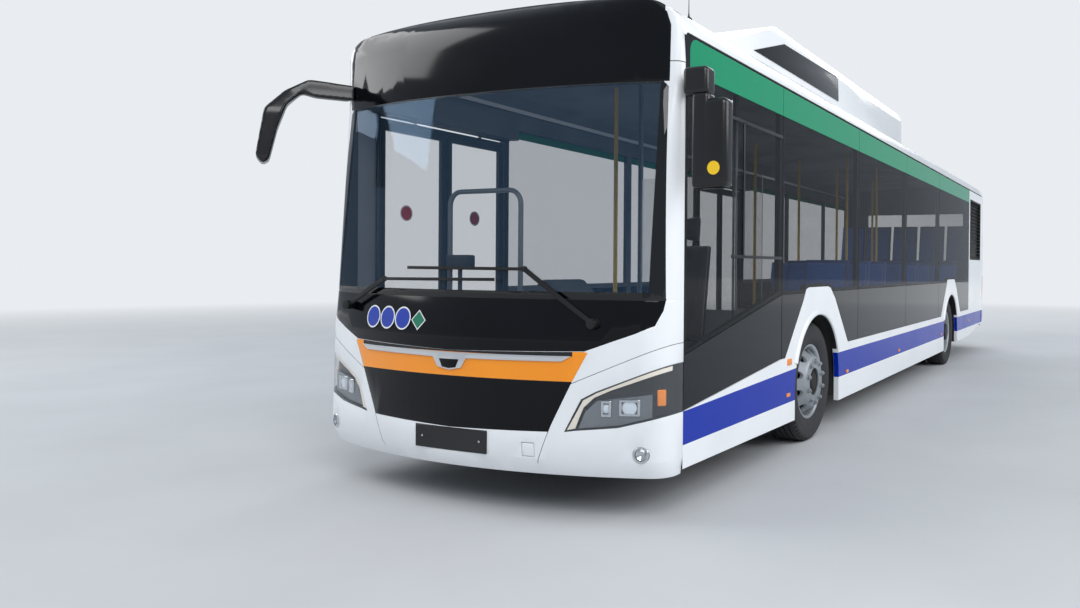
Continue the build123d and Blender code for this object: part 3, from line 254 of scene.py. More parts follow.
# The blue follows the skirt; ahead of the front wheel it starts lower and its top rises to the rear
striped_paint = coated("striped bodywork", WHITE, "#E6E9EB", 0.2, 9, 0.04,
                       {"Coat Weight": 0.05, "Coat Roughness": 0.04, "Specular IOR Level": 0.2})
tree = striped_paint.node_tree
shader = tree.nodes["Principled BSDF"]
plain = shader.inputs["Base Color"].links[0].from_socket
FRONT_Y, REAR_Y, AXLE_Z = -3.3175, 2.6875, 0.4785
x, y, z = node(tree, "SeparateXYZ", {0: node(tree, "TexCoord", {}).outputs["Object"]}).outputs
ahead = node(tree, "Math", {0: y, 1: FRONT_Y}, operation="LESS_THAN")
rise = node(tree, "MapRange", {"Value": y, "From Min": -5.69, "From Max": -3.8,
                               "To Min": 0.596, "To Max": 0.648})
top = node(tree, "Mix", {"Factor": ahead, "A": 0.669, "B": rise})
low = node(tree, "Mix", {"Factor": ahead, "A": 0.453, "B": 0.408})
under = node(tree, "Math", {0: z, 1: top}, operation="LESS_THAN")
over = node(tree, "Math", {0: z, 1: low}, operation="GREATER_THAN")
width = node(tree, "Math", {0: x}, operation="ABSOLUTE")
outside = node(tree, "Math", {0: width, 1: 1.232}, operation="GREATER_THAN")
band = node(tree, "Math", {0: under, 1: over}, operation="MULTIPLY")
blue = node(tree, "Math", {0: band, 1: outside}, operation="MULTIPLY")
coloured = node(tree, "Mix", {"Factor": blue, "A": plain, "B": "#002BA2"}, data_type="RGBA")
fill(tree, shader, {"Base Color": coloured})

INNER_SKIN_X, PANE_BACK_X, DOOR_HEAD_Z = 1.2315, 1.2705, 2.45
for side in ("left", "right"):
    wall = relined(side + "_wall", side + "_side_panels", striped_paint)
    zoned(wall, grey_lining, lambda at, facing: abs(at.x) < INNER_SKIN_X)
    # The black also covers the underside of each door's header: painted shade under the header, not primer
    zoned(wall, primer_and_shade_black, lambda at, facing: INNER_SKIN_X < abs(at.x) < PANE_BACK_X and at.z > 0.7
          or facing.z < -0.9 and abs(at.z - DOOR_HEAD_Z) < 0.01)
    flat_lit(wall)

# Front and rear corners
# Moulded glass-fibre corners with the same white coat; their inner skins are lined in grey.
# A dark sealed joint crosses each front pillar level with the display's glass.
CORNER_X, GLUE_X, SCREEN_FOOT_Z = 1.2375, 1.183, 1.212
mask = relined("front_mask", "front_mask_skin", white_paint)
for x in (-CORNER_X, CORNER_X):
    split_at(mask, (x, 0, 0), (1, 0, 0))
zoned(mask, grey_lining, lambda at, facing: facing.x * at.x + facing.y * (at.y + 4.5) < -0.2)
zoned(mask, primer_and_shade_black, lambda at, facing: at.z > SCREEN_FOOT_Z and abs(at.x) < CORNER_X)
# Sealed seams part each corner from the panel above it and from the bumper's middle
SEAMS = (((0.81, 0.78), (-0.399, 0.917), 0.76, 1.0), ((0.64, 0.49), (0.9285, -0.371), 0.3, 0.51))
SEAM_HALF = 0.0016
for side in (-1, 1):
    for (x, z), (across, up), low_z, high_z in SEAMS:
        spot, way = Vector((side * x, 0, z)), Vector((side * across, 0, up))
        for shift in (-SEAM_HALF, SEAM_HALF):
            split_at(mask, spot + way * shift, way)
        zoned(mask, primer_and_shade_black, lambda at, facing: abs((at - spot).dot(way)) < SEAM_HALF
              and low_z < at.z < high_z and at.x * side > 0.5 and at.y < -5.6)
JOINT_LOW_Z, JOINT_TOP_Z, FOOT_TOP_Z = 2.538, 2.543, 1.235
pillars = relined("front_pillars", "front_pillar_skins", white_paint)
for height in (JOINT_LOW_Z, JOINT_TOP_Z):
    split_at(pillars, (0, 0, height), (0, 0, 1))
for x in (-CORNER_X, -GLUE_X, GLUE_X, CORNER_X):
    split_at(pillars, (x, 0, 0), (1, 0, 0))
zoned(pillars, primer_and_shade_black, lambda at, facing: JOINT_LOW_Z < at.z < JOINT_TOP_Z or abs(at.x) < GLUE_X
      or at.z < FOOT_TOP_Z and abs(at.x) < CORNER_X
      or facing.x * at.x + facing.y * (at.y + 4.5) < -0.2)
rear = relined("rear_wall", "rear_wall_skin", striped_paint)
zoned(rear, grey_lining, lambda at, facing: facing.x * at.x + facing.y * (at.y - 4.5) < -0.2)
relined("engine_flap", "engine_flap_skin", white_paint, body="engine_flap")

# Roof and gas pod
# The roof is one skin from side to side, black ahead of the display's top edge, with a grey ceiling inside.
# The pod over the gas bottles is a white moulding with a black gloss panel let into each flank.
gloss_black = coated("black lacquered panel", "#05070B", "#080A0F", 0.1, 12, 0.02, {"Specular IOR Level": 0.22})
DISPLAY_END_Y = -5.42
roof = relined("roof", "roof_skin", white_paint)
split_at(roof, (0, DISPLAY_END_Y, 0), (0, 1, 0))
zoned(roof, grey_lining, lambda at, facing: facing.z < -0.4 and at.z < 2.93)
zoned(roof, gloss_black, lambda at, facing: at.y < DISPLAY_END_Y and abs(at.x) < 1.19 and facing.z > 0.3)
relined("gas_pod", "pod_skin", white_paint, 0.02)


def closed_up(weld=True):
    # Ends an edit with all faces outward, and without doubled points where it welds
    bpy.ops.mesh.select_all(action="SELECT")
    if weld:
        bpy.ops.mesh.remove_doubles(threshold=0.00001)
    bpy.ops.mesh.normals_make_consistent(inside=False)
    leave_edit()


def chained(name, points, closed):
    deselect()
    bpy.ops.mesh.primitive_plane_add(size=0.01, location=(0, 0, 0))
    piece = bpy.context.object
    piece.name = name
    bpy.ops.object.mode_set(mode="EDIT")
    bpy.ops.mesh.select_mode(type="VERT")
    bpy.ops.mesh.select_all(action="SELECT")
    bpy.ops.mesh.merge(type="CENTER")
    bpy.ops.transform.translate(value=points[0])
    steps = list(zip(points[:-1], points[1:])) + ([(points[-1], points[0])] if closed else [])
    for start, end in steps:
        move = [b - a for a, b in zip(start, end)]
        bpy.ops.mesh.extrude_region_move(TRANSFORM_OT_translate={"value": move})
    bpy.ops.mesh.select_all(action="SELECT")
    bpy.ops.mesh.remove_doubles(threshold=0.00001)
    return piece


def slab(name, points, depth):
    # A flat outline, filled and drawn out along depth
    piece = chained(name, points, True)
    bpy.ops.mesh.edge_face_add()
    bpy.ops.mesh.extrude_region_move(TRANSFORM_OT_translate={"value": depth})
    closed_up(weld=False)
    return piece


POD_FLANK = ((-4.22, 2.975), (-3.62, 3.165), (-2.30, 3.195), (-2.22, 3.18), (-2.2, 2.975))
for side, name in ((1, "left"), (-1, "right")):
    flank = slab("pod_flank_" + name, [(side * 1.064, y, z) for y, z in POD_FLANK], (side * 0.008, 0, 0))
    rounded(flank, 0.003, 3)
    finished(flank, gloss_black)


def boxed(name, low, high, edge=0.004, segments=3):
    deselect()
    bpy.ops.mesh.primitive_cube_add(size=1, location=[(a + b) / 2 for a, b in zip(low, high)])
    piece = bpy.context.object
    piece.name = name
    piece.scale = [b - a for a, b in zip(low, high)]
    bpy.ops.object.transform_apply()
    rounded(piece, edge, segments)
    return piece


def joined(pieces, name):
    alone(pieces[0])
    for piece in pieces:
        piece.select_set(True)
    bpy.ops.object.join()
    pieces[0].name = name
    return pieces[0]


# Gutter rubbers
# A black rubber rail between the green band and the roof's edge leads the rain to the ends, on both sides.
rubber = coated("black rubber seal", "#121315", "#1B1C1E", 0.55, 1.2, 0.2)
rails = [boxed("gutter", (side * 1.2735 - 0.006, -5.63, 2.7015), (side * 1.2735 + 0.006, 5.63, 2.713), 0.003)
         for side in (-1, 1)]
finished(joined(rails, "gutter_rails"), rubber)

# Glazing
# Toughened panes glued flush on the frame, tinted dark, with a green band printed along the top.
# Below the belt they are backed with black, so that only the upper panes can be looked through.
def see_through(tree, shader, least, printed=0.0):
    # Glass lets less through at a grazing angle, alike from both of its sides, and nothing where it is printed
    rim = node(tree, "LayerWeight", {"Blend": 0.5}).outputs["Facing"]
    sheen = node(tree, "Math", {0: rim, 1: 5.0}, operation="POWER")
    solid = node(tree, "Math", {0: sheen, 1: printed}, operation="MAXIMUM")
    fill(tree, shader, {"Alpha": node(tree, "Math", {0: solid, 1: least}, operation="MAXIMUM")})


side_glass, tree, shader, place = new_material("tinted side glass")
x, y, z = node(tree, "SeparateXYZ", {0: place}).outputs
over = node(tree, "Math", {0: z, 1: 2.617}, operation="SUBTRACT")
over = node(tree, "Math", {0: over, 1: 0.0}, operation="MAXIMUM")
before = node(tree, "Math", {0: y, 1: 5.52}, operation="ADD")
before = node(tree, "Math", {0: before, 1: 0.0}, operation="MINIMUM")
reach = node(tree, "VectorMath", {0: node(tree, "CombineXYZ", {0: over, 1: before})}, operation="LENGTH")
within = node(tree, "Math", {0: reach, 1: 0.08}, operation="LESS_THAN")
high = node(tree, "Math", {0: z, 1: 2.497}, operation="GREATER_THAN")
band = node(tree, "Math", {0: within, 1: high}, operation="MULTIPLY")
colour = node(tree, "Mix", {"Factor": band, "A": "#070D14", "B": "#008C62"}, data_type="RGBA")
belt = node(tree, "MapRange", {"Value": y, "From Min": -5.65, "From Max": -4.15,
                               "To Min": 0.911, "To Max": 1.21})
backed = node(tree, "Math", {0: z, 1: belt}, operation="LESS_THAN")
see_through(tree, shader, 0.27, node(tree, "Math", {0: backed, 1: high}, operation="MAXIMUM"))
grained(tree, shader, place, 2.5, 1, 0.06, 0.01)
fill(tree, shader, {"Base Color": colour, "Roughness": 0.03, "Specular IOR Level": 0.25})
flat_lit(relined("side_windows", "side_panes", side_glass, 0.001))

# The windscreen is clearer, with a black printed edge round the glue; the rear pane takes the tinted side glass
screen_glass, tree, shader, place = new_material("windscreen glass")
x, y, z = node(tree, "SeparateXYZ", {0: place}).outputs
width = node(tree, "Math", {0: x}, operation="ABSOLUTE")
beside = node(tree, "Math", {0: width, 1: 1.165}, operation="GREATER_THAN")
below = node(tree, "Math", {0: z, 1: 1.262}, operation="LESS_THAN")
frit = node(tree, "Math", {0: beside, 1: below}, operation="MAXIMUM")
# The glass is part mirror with a blue-grey tint: a real reflection of the studio, coloured as a painted sky
# reflection
colour = node(tree, "Mix", {"Factor": frit, "A": "#4E6E8C", "B": "#05080C"}, data_type="RGBA")
painted_sky_reflection = node(tree, "Math", {0: 0.6, 1: frit}, operation="SUBTRACT")
see_through(tree, shader, 0.13, frit)
fill(tree, shader, {"Base Color": colour, "Metallic": painted_sky_reflection, "Roughness": 0.02, "IOR": 1.5})
relined("windscreen", "windscreen_pane", screen_glass, 0.001)
relined("rear_window", "rear_pane", side_glass, 0.001)
relined("display_cap", "display_cap_skin", gloss_black)
relined("front_black_panel", "black_panel_skin", gloss_black)

# Driver's sliding window
# Slim black alloy rails glued on the first left pane: a head rail, and the stile that the slider meets.
alloy = coated("black anodised rail", "#2A2D30", "#34373A", 0.35, 0.8, 0.1, {"Metallic": 0.6})
rails = [boxed("rail", (1.2725, -5.03, 2.328), (1.2795, -4.165, 2.350), 0.002),
         boxed("rail", (1.2725, -4.852, 1.47), (1.2795, -4.83, 2.340), 0.002),
         boxed("rail", (1.2725, -5.03, 1.462), (1.2795, -4.165, 1.482), 0.002)]
finished(joined(rails, "driver_window_rails"), alloy)

# Front panel, strip and plate place
# The lower panel is one moulding in orange, with a black lid below it that opens for the wipers' motor;
# a brushed metal strip with a bare shield lies along its top, and a black holder waits for the plate.
orange_paint = coated("orange bodywork", "#FF9800", "#F79100", 0.22, 9, 0.04, CLEAR_COAT)
panel = relined("front_lower_panel", "front_lower_skin", orange_paint, 0.002)
LID_TOP_Z, STRIP_TOP_Z, STRIP_END_X = 0.770, 0.9105, 0.778
for height in (LID_TOP_Z, LID_TOP_Z + 0.004, STRIP_TOP_Z):
    split_at(panel, (0, 0, height), (0, 0, 1))
for x in (-STRIP_END_X, STRIP_END_X):
    split_at(panel, (x, 0, 0), (1, 0, 0))
zoned(panel, gloss_black, lambda at, facing: at.z < LID_TOP_Z)
zoned(panel, primer_and_shade_black, lambda at, facing: LID_TOP_Z < at.z < LID_TOP_Z + 0.004
      or at.z > STRIP_TOP_Z and abs(at.x) < STRIP_END_X)

brushed, tree, shader, place = new_material("brushed bright strip")
stretch = node(tree, "Mapping", {"Vector": place, "Scale": (3, 3, 900)})
lines = node(tree, "TexNoise", {"Vector": stretch, "Scale": 1.0, "Detail": 4})
tint = node(tree, "Mix", {"Factor": lines, "A": "#C2C5C8", "B": "#F0F1F2"}, data_type="RGBA")
bump = node(tree, "Bump", {"Height": lines, "Strength": 0.2, "Distance": 0.0005})
fill(tree, shader, {"Base Color": tint, "Normal": bump, "Metallic": 0.9, "Roughness": 0.28})
relined("front_strip", "bright_strip", brushed, 0.002)
shield = slab("bare_shield", [(-0.072, -6.1035, 0.869), (-0.050, -6.1035, 0.822), (0, -6.1035, 0.815),
                              (0.050, -6.1035, 0.822), (0.072, -6.1035, 0.869)], (0, 0.006, 0))
rounded(shield, 0.002, 3)
finished(shield, gloss_black)

lid = slab("towing_lid", [(0.484, -6.048, 0.354), (0.556, -6.037, 0.354), (0.556, -6.044, 0.426),
                          (0.484, -6.055, 0.426)], (0, 0.0035, 0))
rounded(lid, 0.001, 2)
finished(lid, white_paint)
moulded = coated("black moulded plastic", "#17181A", "#212326", 0.5, 1.0, 0.3)


def pick_faces(piece, test):
    alone(piece)
    bpy.ops.object.mode_set(mode="EDIT")
    bpy.ops.mesh.select_mode(type="FACE")
    bpy.ops.mesh.select_all(action="DESELECT")
    leave_edit()
    for face in piece.data.polygons:
        face.select = test(face.center, face.normal)
    bpy.ops.object.mode_set(mode="EDIT")


holder = boxed("plate_holder", (-0.262, -6.088, 0.345), (0.262, -6.0785, 0.475), 0.004)
pick_faces(holder, lambda at, facing: facing.y < -0.99)
bpy.ops.mesh.inset(thickness=0.012, depth=-0.003)
leave_edit()


def lathed(name, profile, steps=96, closed=True):
    # The profile lists the distance along the axle and the radius; it is spun about the X axis
    piece = chained(name, [(u, 0, radius) for u, radius in profile], closed)
    bpy.ops.mesh.select_all(action="SELECT")
    bpy.ops.mesh.spin(steps=steps, angle=2 * pi, center=(0, 0, 0), axis=(1, 0, 0))
    closed_up()
    return piece


def placed(piece, location, turn=(0, 0, 0)):
    alone(piece)
    piece.rotation_euler = turn
    piece.location = location
    bpy.ops.object.transform_apply()
    return piece


def twin(piece, name, move=(0, 0, 0), flip=False):
    alone(piece)
    bpy.ops.object.duplicate()
    made = bpy.context.object
    made.name = name
    made.location = move
    bpy.ops.object.transform_apply()
    if flip:
        made.scale = (-1, 1, 1)
        bpy.ops.object.transform_apply()
        bpy.ops.object.mode_set(mode="EDIT")
        closed_up(weld=False)
    return made


def on_both_sides(piece, material):
    # The left piece and its mirror image on the right
    for made in (twin(piece, piece.name.replace("left", "right"), flip=True), piece):
        finished(made, material)


SCREW_HEAD = ((0, 0), (-0.004, 0), (-0.004, 0.004), (-0.002, 0.0062), (0, 0.0062))
screws = [placed(lathed("screw", SCREW_HEAD, 24, False), (side * 0.21, -6.086, 0.41), (0, 0, pi / 2))
          for side in (-1, 1)]
finished(holder, moulded)
bright = coated("bright zinc", "#B9BDC1", "#9EA2A6", 0.3, 0.6, 0.1, {"Metallic": 0.9})
finished(joined(screws, "plate_screws"), bright)

# Notice discs
# Four stuck-on notices at the foot of the windscreen, blank here: three blue discs and a green diamond,
# each with a white rim.
white_film = coated("white film", "#F1F2F2", "#E7E8E8", 0.3, 3, 0.05)
blue_film = coated("blue film", "#0F35A8", "#1238A2", 0.3, 3, 0.05)
green_film = coated("green film", "#12785A", "#147356", 0.3, 3, 0.05)
red_film = coated("red film", "#C3202B", "#B8222C", 0.3, 3, 0.05)


def notice(name, radius, steps, place, turn, film, body="bus_body", rim=0.009, thick=0.0012):
    edge = [(0, 0), (thick * 0.5, 0), (thick * 0.5, radius), (0, radius)]
    face = [(0, 0), (thick, 0), (thick, radius - rim), (thick * 0.4, radius - rim)]
    for part, profile, material in (("rim", edge, white_film), ("face", face, film)):
        piece = placed(lathed(name + "_" + part, profile, steps, False), place, turn)
        finished(piece, material, body)


for index, (x, y, turn_deg) in enumerate(((-0.675, -6.0175, 11), (-0.531, -6.0445, 9), (-0.389, -6.0645, 6))):
    notice("notice_blue_%d" % index, 0.069, 48, (x, y, 1.086), (0, radians(-8.5), radians(-90 - turn_deg)),
           blue_film)
notice("notice_green", 0.06, 4, (-0.255, -6.0755, 1.08), (0, radians(-8.5), radians(-94)), green_film)

# Headlamps
# A black bowl behind a clear moulded lens that wraps the corner: two square lens units, an amber indicator
# outboard, and a warm white light bar along the bowl's upper edge.
lamp_black = coated("dark lamp bowl", "#1A1C20", "#24272C", 0.25, 1.5, 0.1, {"Metallic": 0.5})
chrome = coated("bright lamp reflector", "#D5D8DB", "#C6C9CC", 0.12, 2, 0.03, {"Metallic": 1.0})
lamp_clear, tree, shader, place = new_material("clear lamp lens")
grained(tree, shader, place, 300, 2, 0.03)
see_through(tree, shader, 0.05)
fill(tree, shader, {"Base Color": "#C9D0D6", "Roughness": 0.03})
warm_bar = coated("warm white light bar", "#F4EBDC", "#EDE3D2", 0.25, 2, 0.1)
amber = coated("amber lens", "#F08A1C", "#E58016", 0.15, 3, 0.2, CLEAR_COAT)


def lamp_skin(name):
    # The outer faces of both headlamps, without the fog lamps
    piece = copied("headlamps", name)
    pick_faces(piece, lambda at, facing: at.z < 0.44 or facing.x * at.x * 0.45 - facing.y * 0.8 < 0.42)
    bpy.ops.mesh.delete(type="FACE")
    leave_edit()
    return piece


lens = lamp_skin("headlamp_lenses")
modified(lens, "SOLIDIFY", thickness=0.003, offset=-1)
finished(lens, lamp_clear)

bowl = lamp_skin("headlamp_bowls")
alone(bowl)
edit_all()
bpy.ops.transform.shrink_fatten(value=-0.0034)
bpy.ops.mesh.inset(thickness=0.004, depth=0)
bpy.ops.mesh.extrude_region_move(TRANSFORM_OT_translate={"value": (0, 0.032, 0)})
leave_edit()
modified(bowl, "SOLIDIFY", thickness=0.002, offset=-1)
finished(bowl, lamp_black)
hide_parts("headlamps")

BAR_OUTER = ((0.745, 0.508), (0.789, 0.588), (0.835, 0.674), (0.910, 0.716), (1.0, 0.754), (1.1, 0.796),
             (1.2, 0.837), (1.262, 0.862))
BAR_INNER = ((0.791, 0.519), (0.812, 0.577), (0.836, 0.634), (0.894, 0.690), (0.98, 0.730), (1.09, 0.771),
             (1.195, 0.811), (1.262, 0.837))
CUP_OUTLINE = ((0.800, 0.5165), (1.020, 0.541), (1.190, 0.586), (1.190, 0.712), (0.905, 0.672),
               (0.838, 0.610))
lamp_cup = coated("grey lamp reflector", "#84898F", "#6E7378", 0.22, 3, 0.1, {"Metallic": 0.7})


def draped(name, outline, skin, depth, thick):
    # Drawn flat in front of the bus, cut across, laid on the skin, sunk by depth and thickened
    piece = chained(name, [(x, -6.3, z) for x, z in outline], True)
    bpy.ops.mesh.edge_face_add()
    ends = sorted(x for x, z in outline)
    for i in range(1, 18):
        bpy.ops.mesh.select_all(action="SELECT")
        cut_x = ends[0] + (ends[-1] - ends[0]) * i / 18
        bpy.ops.mesh.bisect(plane_co=(cut_x, 0, 0), plane_no=(1, 0, 0))
    bpy.ops.mesh.select_all(action="SELECT")
    bpy.ops.mesh.quads_convert_to_tris()
    leave_edit()
    for vertex in piece.data.vertices:
        hit, place, facing, face = skin.ray_cast((vertex.co.x, -6.5, vertex.co.z), (0, 1, 0))
        if not hit:
            hit, place, facing, face = skin.closest_point_on_mesh((vertex.co.x, -5.8, vertex.co.z))
        vertex.co.y = place.y + depth
    alone(piece)
    edit_all()
    bpy.ops.mesh.extrude_region_move(TRANSFORM_OT_translate={"value": (0, thick, 0)})
    closed_up(weld=False)
    return piece


for side, name in ((1, "left"), (-1, "right")):
    edge = [(side * x, z) for x, z in BAR_OUTER + BAR_INNER[::-1]]
    finished(draped("light_bar_" + name, edge, lens, 0.008, 0.006), warm_bar)
    edge = [(side * x, z) for x, z in CUP_OUTLINE]
    finished(draped("lamp_cup_" + name, edge, lens, 0.024, 0.003), lamp_cup)

# Each lens unit is a bright square box round a domed lens
dome_glass = coated("domed lens glass", "#DDE6EE", "#CFDAE4", 0.05, 2, 0.02, CLEAR_COAT)
LENS_UNITS = ((0.9535, 0.630, 0.031, 0.047, -5.932, 16), (1.0745, 0.637, 0.060, 0.048, -5.888, 19))
for index, (x, z, half_x, half_z, y, turn_deg) in enumerate(LENS_UNITS):
    bezel = boxed("bezel", (-half_x, -0.012, -half_z), (half_x, 0.024, half_z), 0.009, 4)
    pick_faces(bezel, lambda at, facing: facing.y < -0.99)
    bpy.ops.mesh.inset(thickness=0.006, depth=0)
    bpy.ops.mesh.inset(thickness=0.006, depth=-0.014)
    leave_edit()
    dome = [(0.010 * cos(pi / 2 * i / 8), half_x * 0.78 * sin(pi / 2 * i / 8)) for i in range(9)]
    dome = lathed("dome", dome + [(-0.004, half_x * 0.78), (-0.004, 0)], 40, False)
    placed(dome, (0, 0.001, 0), (0, 0, -pi / 2))
    for part, piece, material in (("bezel", bezel, chrome), ("dome", dome, dome_glass)):
        placed(piece, (x, y, z), (0, 0, radians(turn_deg)))
        piece.name = "lamp_%s_left_%d" % (part, index)
        on_both_sides(piece, material)
indicator = boxed("indicator_left", (-0.026, -0.006, -0.046), (0.026, 0.02, 0.046), 0.008)
on_both_sides(placed(indicator, (1.222, -5.80, 0.69), (0, 0, radians(48))), amber)

# Fog lamps
# Round lamps low in the corners: a bright ring, a bright cup and a clear domed lens.
FOG_RING = ((0.006, 0.0345), (0.006, 0.0425), (0.003, 0.0455), (-0.004, 0.0455), (-0.014, 0.043),
            (-0.014, 0.0345))
FOG_CUP = ((-0.030, 0), (-0.026, 0.016), (-0.014, 0.033), (0.0, 0.0345), (0.0, 0.0365), (-0.033, 0.0365),
           (-0.033, 0))
FOG_LENS = ((0.0025, 0), (0.002, 0.014), (-0.001, 0.0342), (-0.004, 0.0342), (-0.002, 0.0))
for name, profile, material, closed in (("ring", FOG_RING, chrome, True), ("cup", FOG_CUP, chrome, False),
                                        ("lens", FOG_LENS, lamp_clear, False)):
    part = lathed("fog_%s_left" % name, profile, 64, closed)
    on_both_sides(placed(part, (1.146, -5.8865, 0.388), (0, 0, radians(-71))), material)

# Side markers and repeaters
# Small amber lenses clipped into the skirt and, higher up, beside the front wheels.
# The right wall's middle one stands ahead of the middle door.
MARKERS = ((-4.008, 0.465), (-2.52, 0.478), (1.94, 0.499), (4.35, 0.56))
for side, name, middle in ((1, "left", (-0.535, 0.493)), (-1, "right", (-0.96, 0.493))):
    near, far = sorted((side * 1.2695, side * 1.2815))
    lamps = [boxed("marker", (near, y - 0.034, z - 0.014), (far, y + 0.034, z + 0.014), 0.005)
             for y, z in MARKERS + (middle,)]
    near, far = sorted((side * 1.268, side * 1.284))
    lamps.append(boxed("repeater", (near, -4.03, 0.683), (far, -3.95, 0.731), 0.007))
    finished(joined(lamps, "side_markers_" + name), amber)

# Wipers
# Pressed arms and rigid blades in matt black, on bosses in the panel below the windscreen.
matt_black_and_shade = coated("matt black steel", "#131416", "#1B1C1E", 0.45, 1.2, 0.15, {"Metallic": 0.3})
relined("wipers", "wiper_arms", matt_black_and_shade, 0.002)

# Mirrors and aerial
# Black moulded heads; the left one hangs on a short bracket and carries a bare yellow disc,
# with a bright glass facing rearwards; the right one hangs from a long hooked arm.
gloss_plastic = coated("glossy black moulding", "#0D0E10", "#131416", 0.2, 2, 0.08)
BLOCKS = (((1.279, -5.649, 2.3605), (1.345, -5.583, 2.4595), 0.008),
          ((1.3105, -5.762, 2.336), (1.4615, -5.648, 2.489), 0.026),
          ((1.368, -5.766, 1.828), (1.470, -5.657, 2.345), 0.024),
          ((1.425, -5.766, 1.828), (1.579, -5.657, 2.312), 0.034))
housing = joined([boxed("block", low, high, edge, 6) for low, high, edge in BLOCKS], "left_mirror_housing")
finished(housing, gloss_plastic)
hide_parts("left_mirror")
hook = copied("right_mirror", "right_mirror_housing")
modified(hook, "REMESH", mode="VOXEL", voxel_size=0.008)
modified(hook, "SMOOTH", factor=0.5, iterations=36)
finished(hook, gloss_plastic, smooth=60)
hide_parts("right_mirror")
mirror_glass = coated("silvered mirror", "#DDE2E6", "#D3D8DC", 0.03, 4, 0.01, {"Metallic": 1.0})
glass = boxed("left_mirror_glass", (1.352, -5.656, 1.845), (1.563, -5.652, 2.31), 0.0015)
finished(glass, mirror_glass)
yellow_film = coated("yellow film", "#F4C81E", "#E9BE1C", 0.3, 3, 0.05)
disc = lathed("mirror_disc", ((0, 0), (0.0015, 0), (0.0015, 0.036), (0, 0.037)), 40, False)
finished(placed(disc, (1.506, -5.7658, 1.934), (0, 0, -pi / 2)), yellow_film)
MAST = ((-0.01, 0), (-0.01, 0.022), (0.012, 0.020), (0.024, 0.006), (0.05, 0.003), (0.19, 0.0015), (0.192, 0))
mast = lathed("aerial", MAST, 24, False)
finished(placed(mast, (1.0, -5.1, 2.955), (0, -pi / 2, 0)), rubber)

# Wheel arch flares
# A rounded white lip moulded round the upper part of each wheel arch.
LIP = ((1.262, 0.5475), (1.284, 0.5475), (1.2875, 0.552), (1.2885, 0.560), (1.2865, 0.572), (1.281, 0.582),
       (1.2745, 0.590), (1.262, 0.590))
START = radians(21)
for axle_y, end in ((FRONT_Y, "front"), (REAR_Y, "rear")):
    points = [(x, axle_y - r * cos(START), AXLE_Z + r * sin(START)) for x, r in LIP]
    lip = chained("flare_%s_left" % end, points, True)
    bpy.ops.mesh.edge_face_add()
    bpy.ops.mesh.spin(steps=48, angle=pi - 2 * START, center=(0, axle_y, AXLE_Z), axis=(1, 0, 0))
    closed_up()
    on_both_sides(lip, white_paint)

# Tyres
# Radial city tyres: five ribs between four grooves, notched shoulders and a plain side with a scuff rib.
tyre_rubber, tree, shader, place = new_material("tyre rubber")
dust = node(tree, "TexNoise", {"Vector": place, "Scale": 6, "Detail": 6})
tint = node(tree, "Mix", {"Factor": dust, "A": "#1A1A1B", "B": "#36363A"}, data_type="RGBA")
fill(tree, shader, {"Base Color": tint, "Roughness": 0.75})
grained(tree, shader, place, 500, 3, 0.35)
HALF_TYRE = ((0.0995, 0.2868), (0.1115, 0.3045), (0.1215, 0.318), (0.1305, 0.342), (0.1365, 0.368),
             (0.138, 0.392), (0.1365, 0.412), (0.134, 0.427), (0.1352, 0.431), (0.1348, 0.438),
             (0.131, 0.444), (0.1285, 0.4535), (0.121, 0.4655), (0.1105, 0.4735), (0.098, 0.4765),
             (0.0765, 0.478), (0.0745, 0.466), (0.0645, 0.466), (0.0625, 0.4783), (0.0305, 0.4785),
             (0.0285, 0.466), (0.0185, 0.466), (0.0165, 0.4785))
tyre = lathed("tyre", list(HALF_TYRE) + [(-u, r) for u, r in reversed(HALF_TYRE)], 120)


def notched(at, facing):
    # Every other step round the shoulder
    turn = Vector((at.y, at.z)).angle_signed(Vector((0, 1)))
    return 0.458 < hypot(at.y, at.z) < 0.472 and abs(at.x) > 0.11 and int(60 + 60 * turn / pi) % 2 == 0


pick_faces(tyre, notched)
bpy.ops.mesh.inset(thickness=0.0025, depth=-0.007, use_individual=True)
leave_edit()
OUTER_X, INNER_X = 1.085, 0.773
for side, name in ((False, "left"), (True, "right")):
    front = twin(tyre, "front_tyre_%s_tread" % name, (OUTER_X, FRONT_Y, AXLE_Z), side)
    finished(front, tyre_rubber, "front_wheel_" + name)
    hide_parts("front_tyre_" + name)
    pair = [twin(tyre, "rear", (x, REAR_Y, AXLE_Z), side) for x in (OUTER_X, INNER_X)]
    pair = joined(pair, "rear_tyres_%s_tread" % name)
    finished(pair, tyre_rubber, "rear_wheels_" + name)
    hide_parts("rear_tyres_" + name)
bpy.data.objects.remove(tyre)

# Wheels
# Pressed steel discs welded in rolled rims, painted silver, with ten oval hand holes;
# ten flanged nuts hold each on its hub, whose cap is black with grease.
silver = coated("silver wheel paint", "#AEB3B8", "#8F9499", 0.35, 2, 0.15, {"Metallic": 0.45})
hub_iron = coated("greasy black hub", "#17181A", "#26241F", 0.5, 1.5, 0.3, {"Metallic": 0.3})
RIM = ((0.112, 0.3015), (0.1125, 0.296), (0.111, 0.2895), (0.103, 0.2795), (0.094, 0.2745), (0.0585, 0.274),
       (0.062, 0.2695), (0.070, 0.262), (0.1395, 0.2108), (0.148, 0.203), (0.1535, 0.194), (0.15585, 0.186),
       (0.15585, 0.1125), (0.1535, 0.110), (0.14185, 0.110), (0.14185, 0.184), (0.13185, 0.198),
       (0.054, 0.252), (0.044, 0.266), (0.040, 0.274), (-0.094, 0.2745), (-0.103, 0.2795), (-0.111, 0.2895),
       (-0.112, 0.3015), (-0.107, 0.302), (-0.103, 0.297), (-0.099, 0.2866), (0.099, 0.2866),
       (0.103, 0.297), (0.107, 0.302))


def ten_round(piece):
    # Nine more copies round the axle
    alone(piece)
    edit_all()
    bpy.ops.mesh.spin(steps=9, dupli=True, angle=radians(324), center=(0, 0, 0), axis=(1, 0, 0))
    leave_edit()


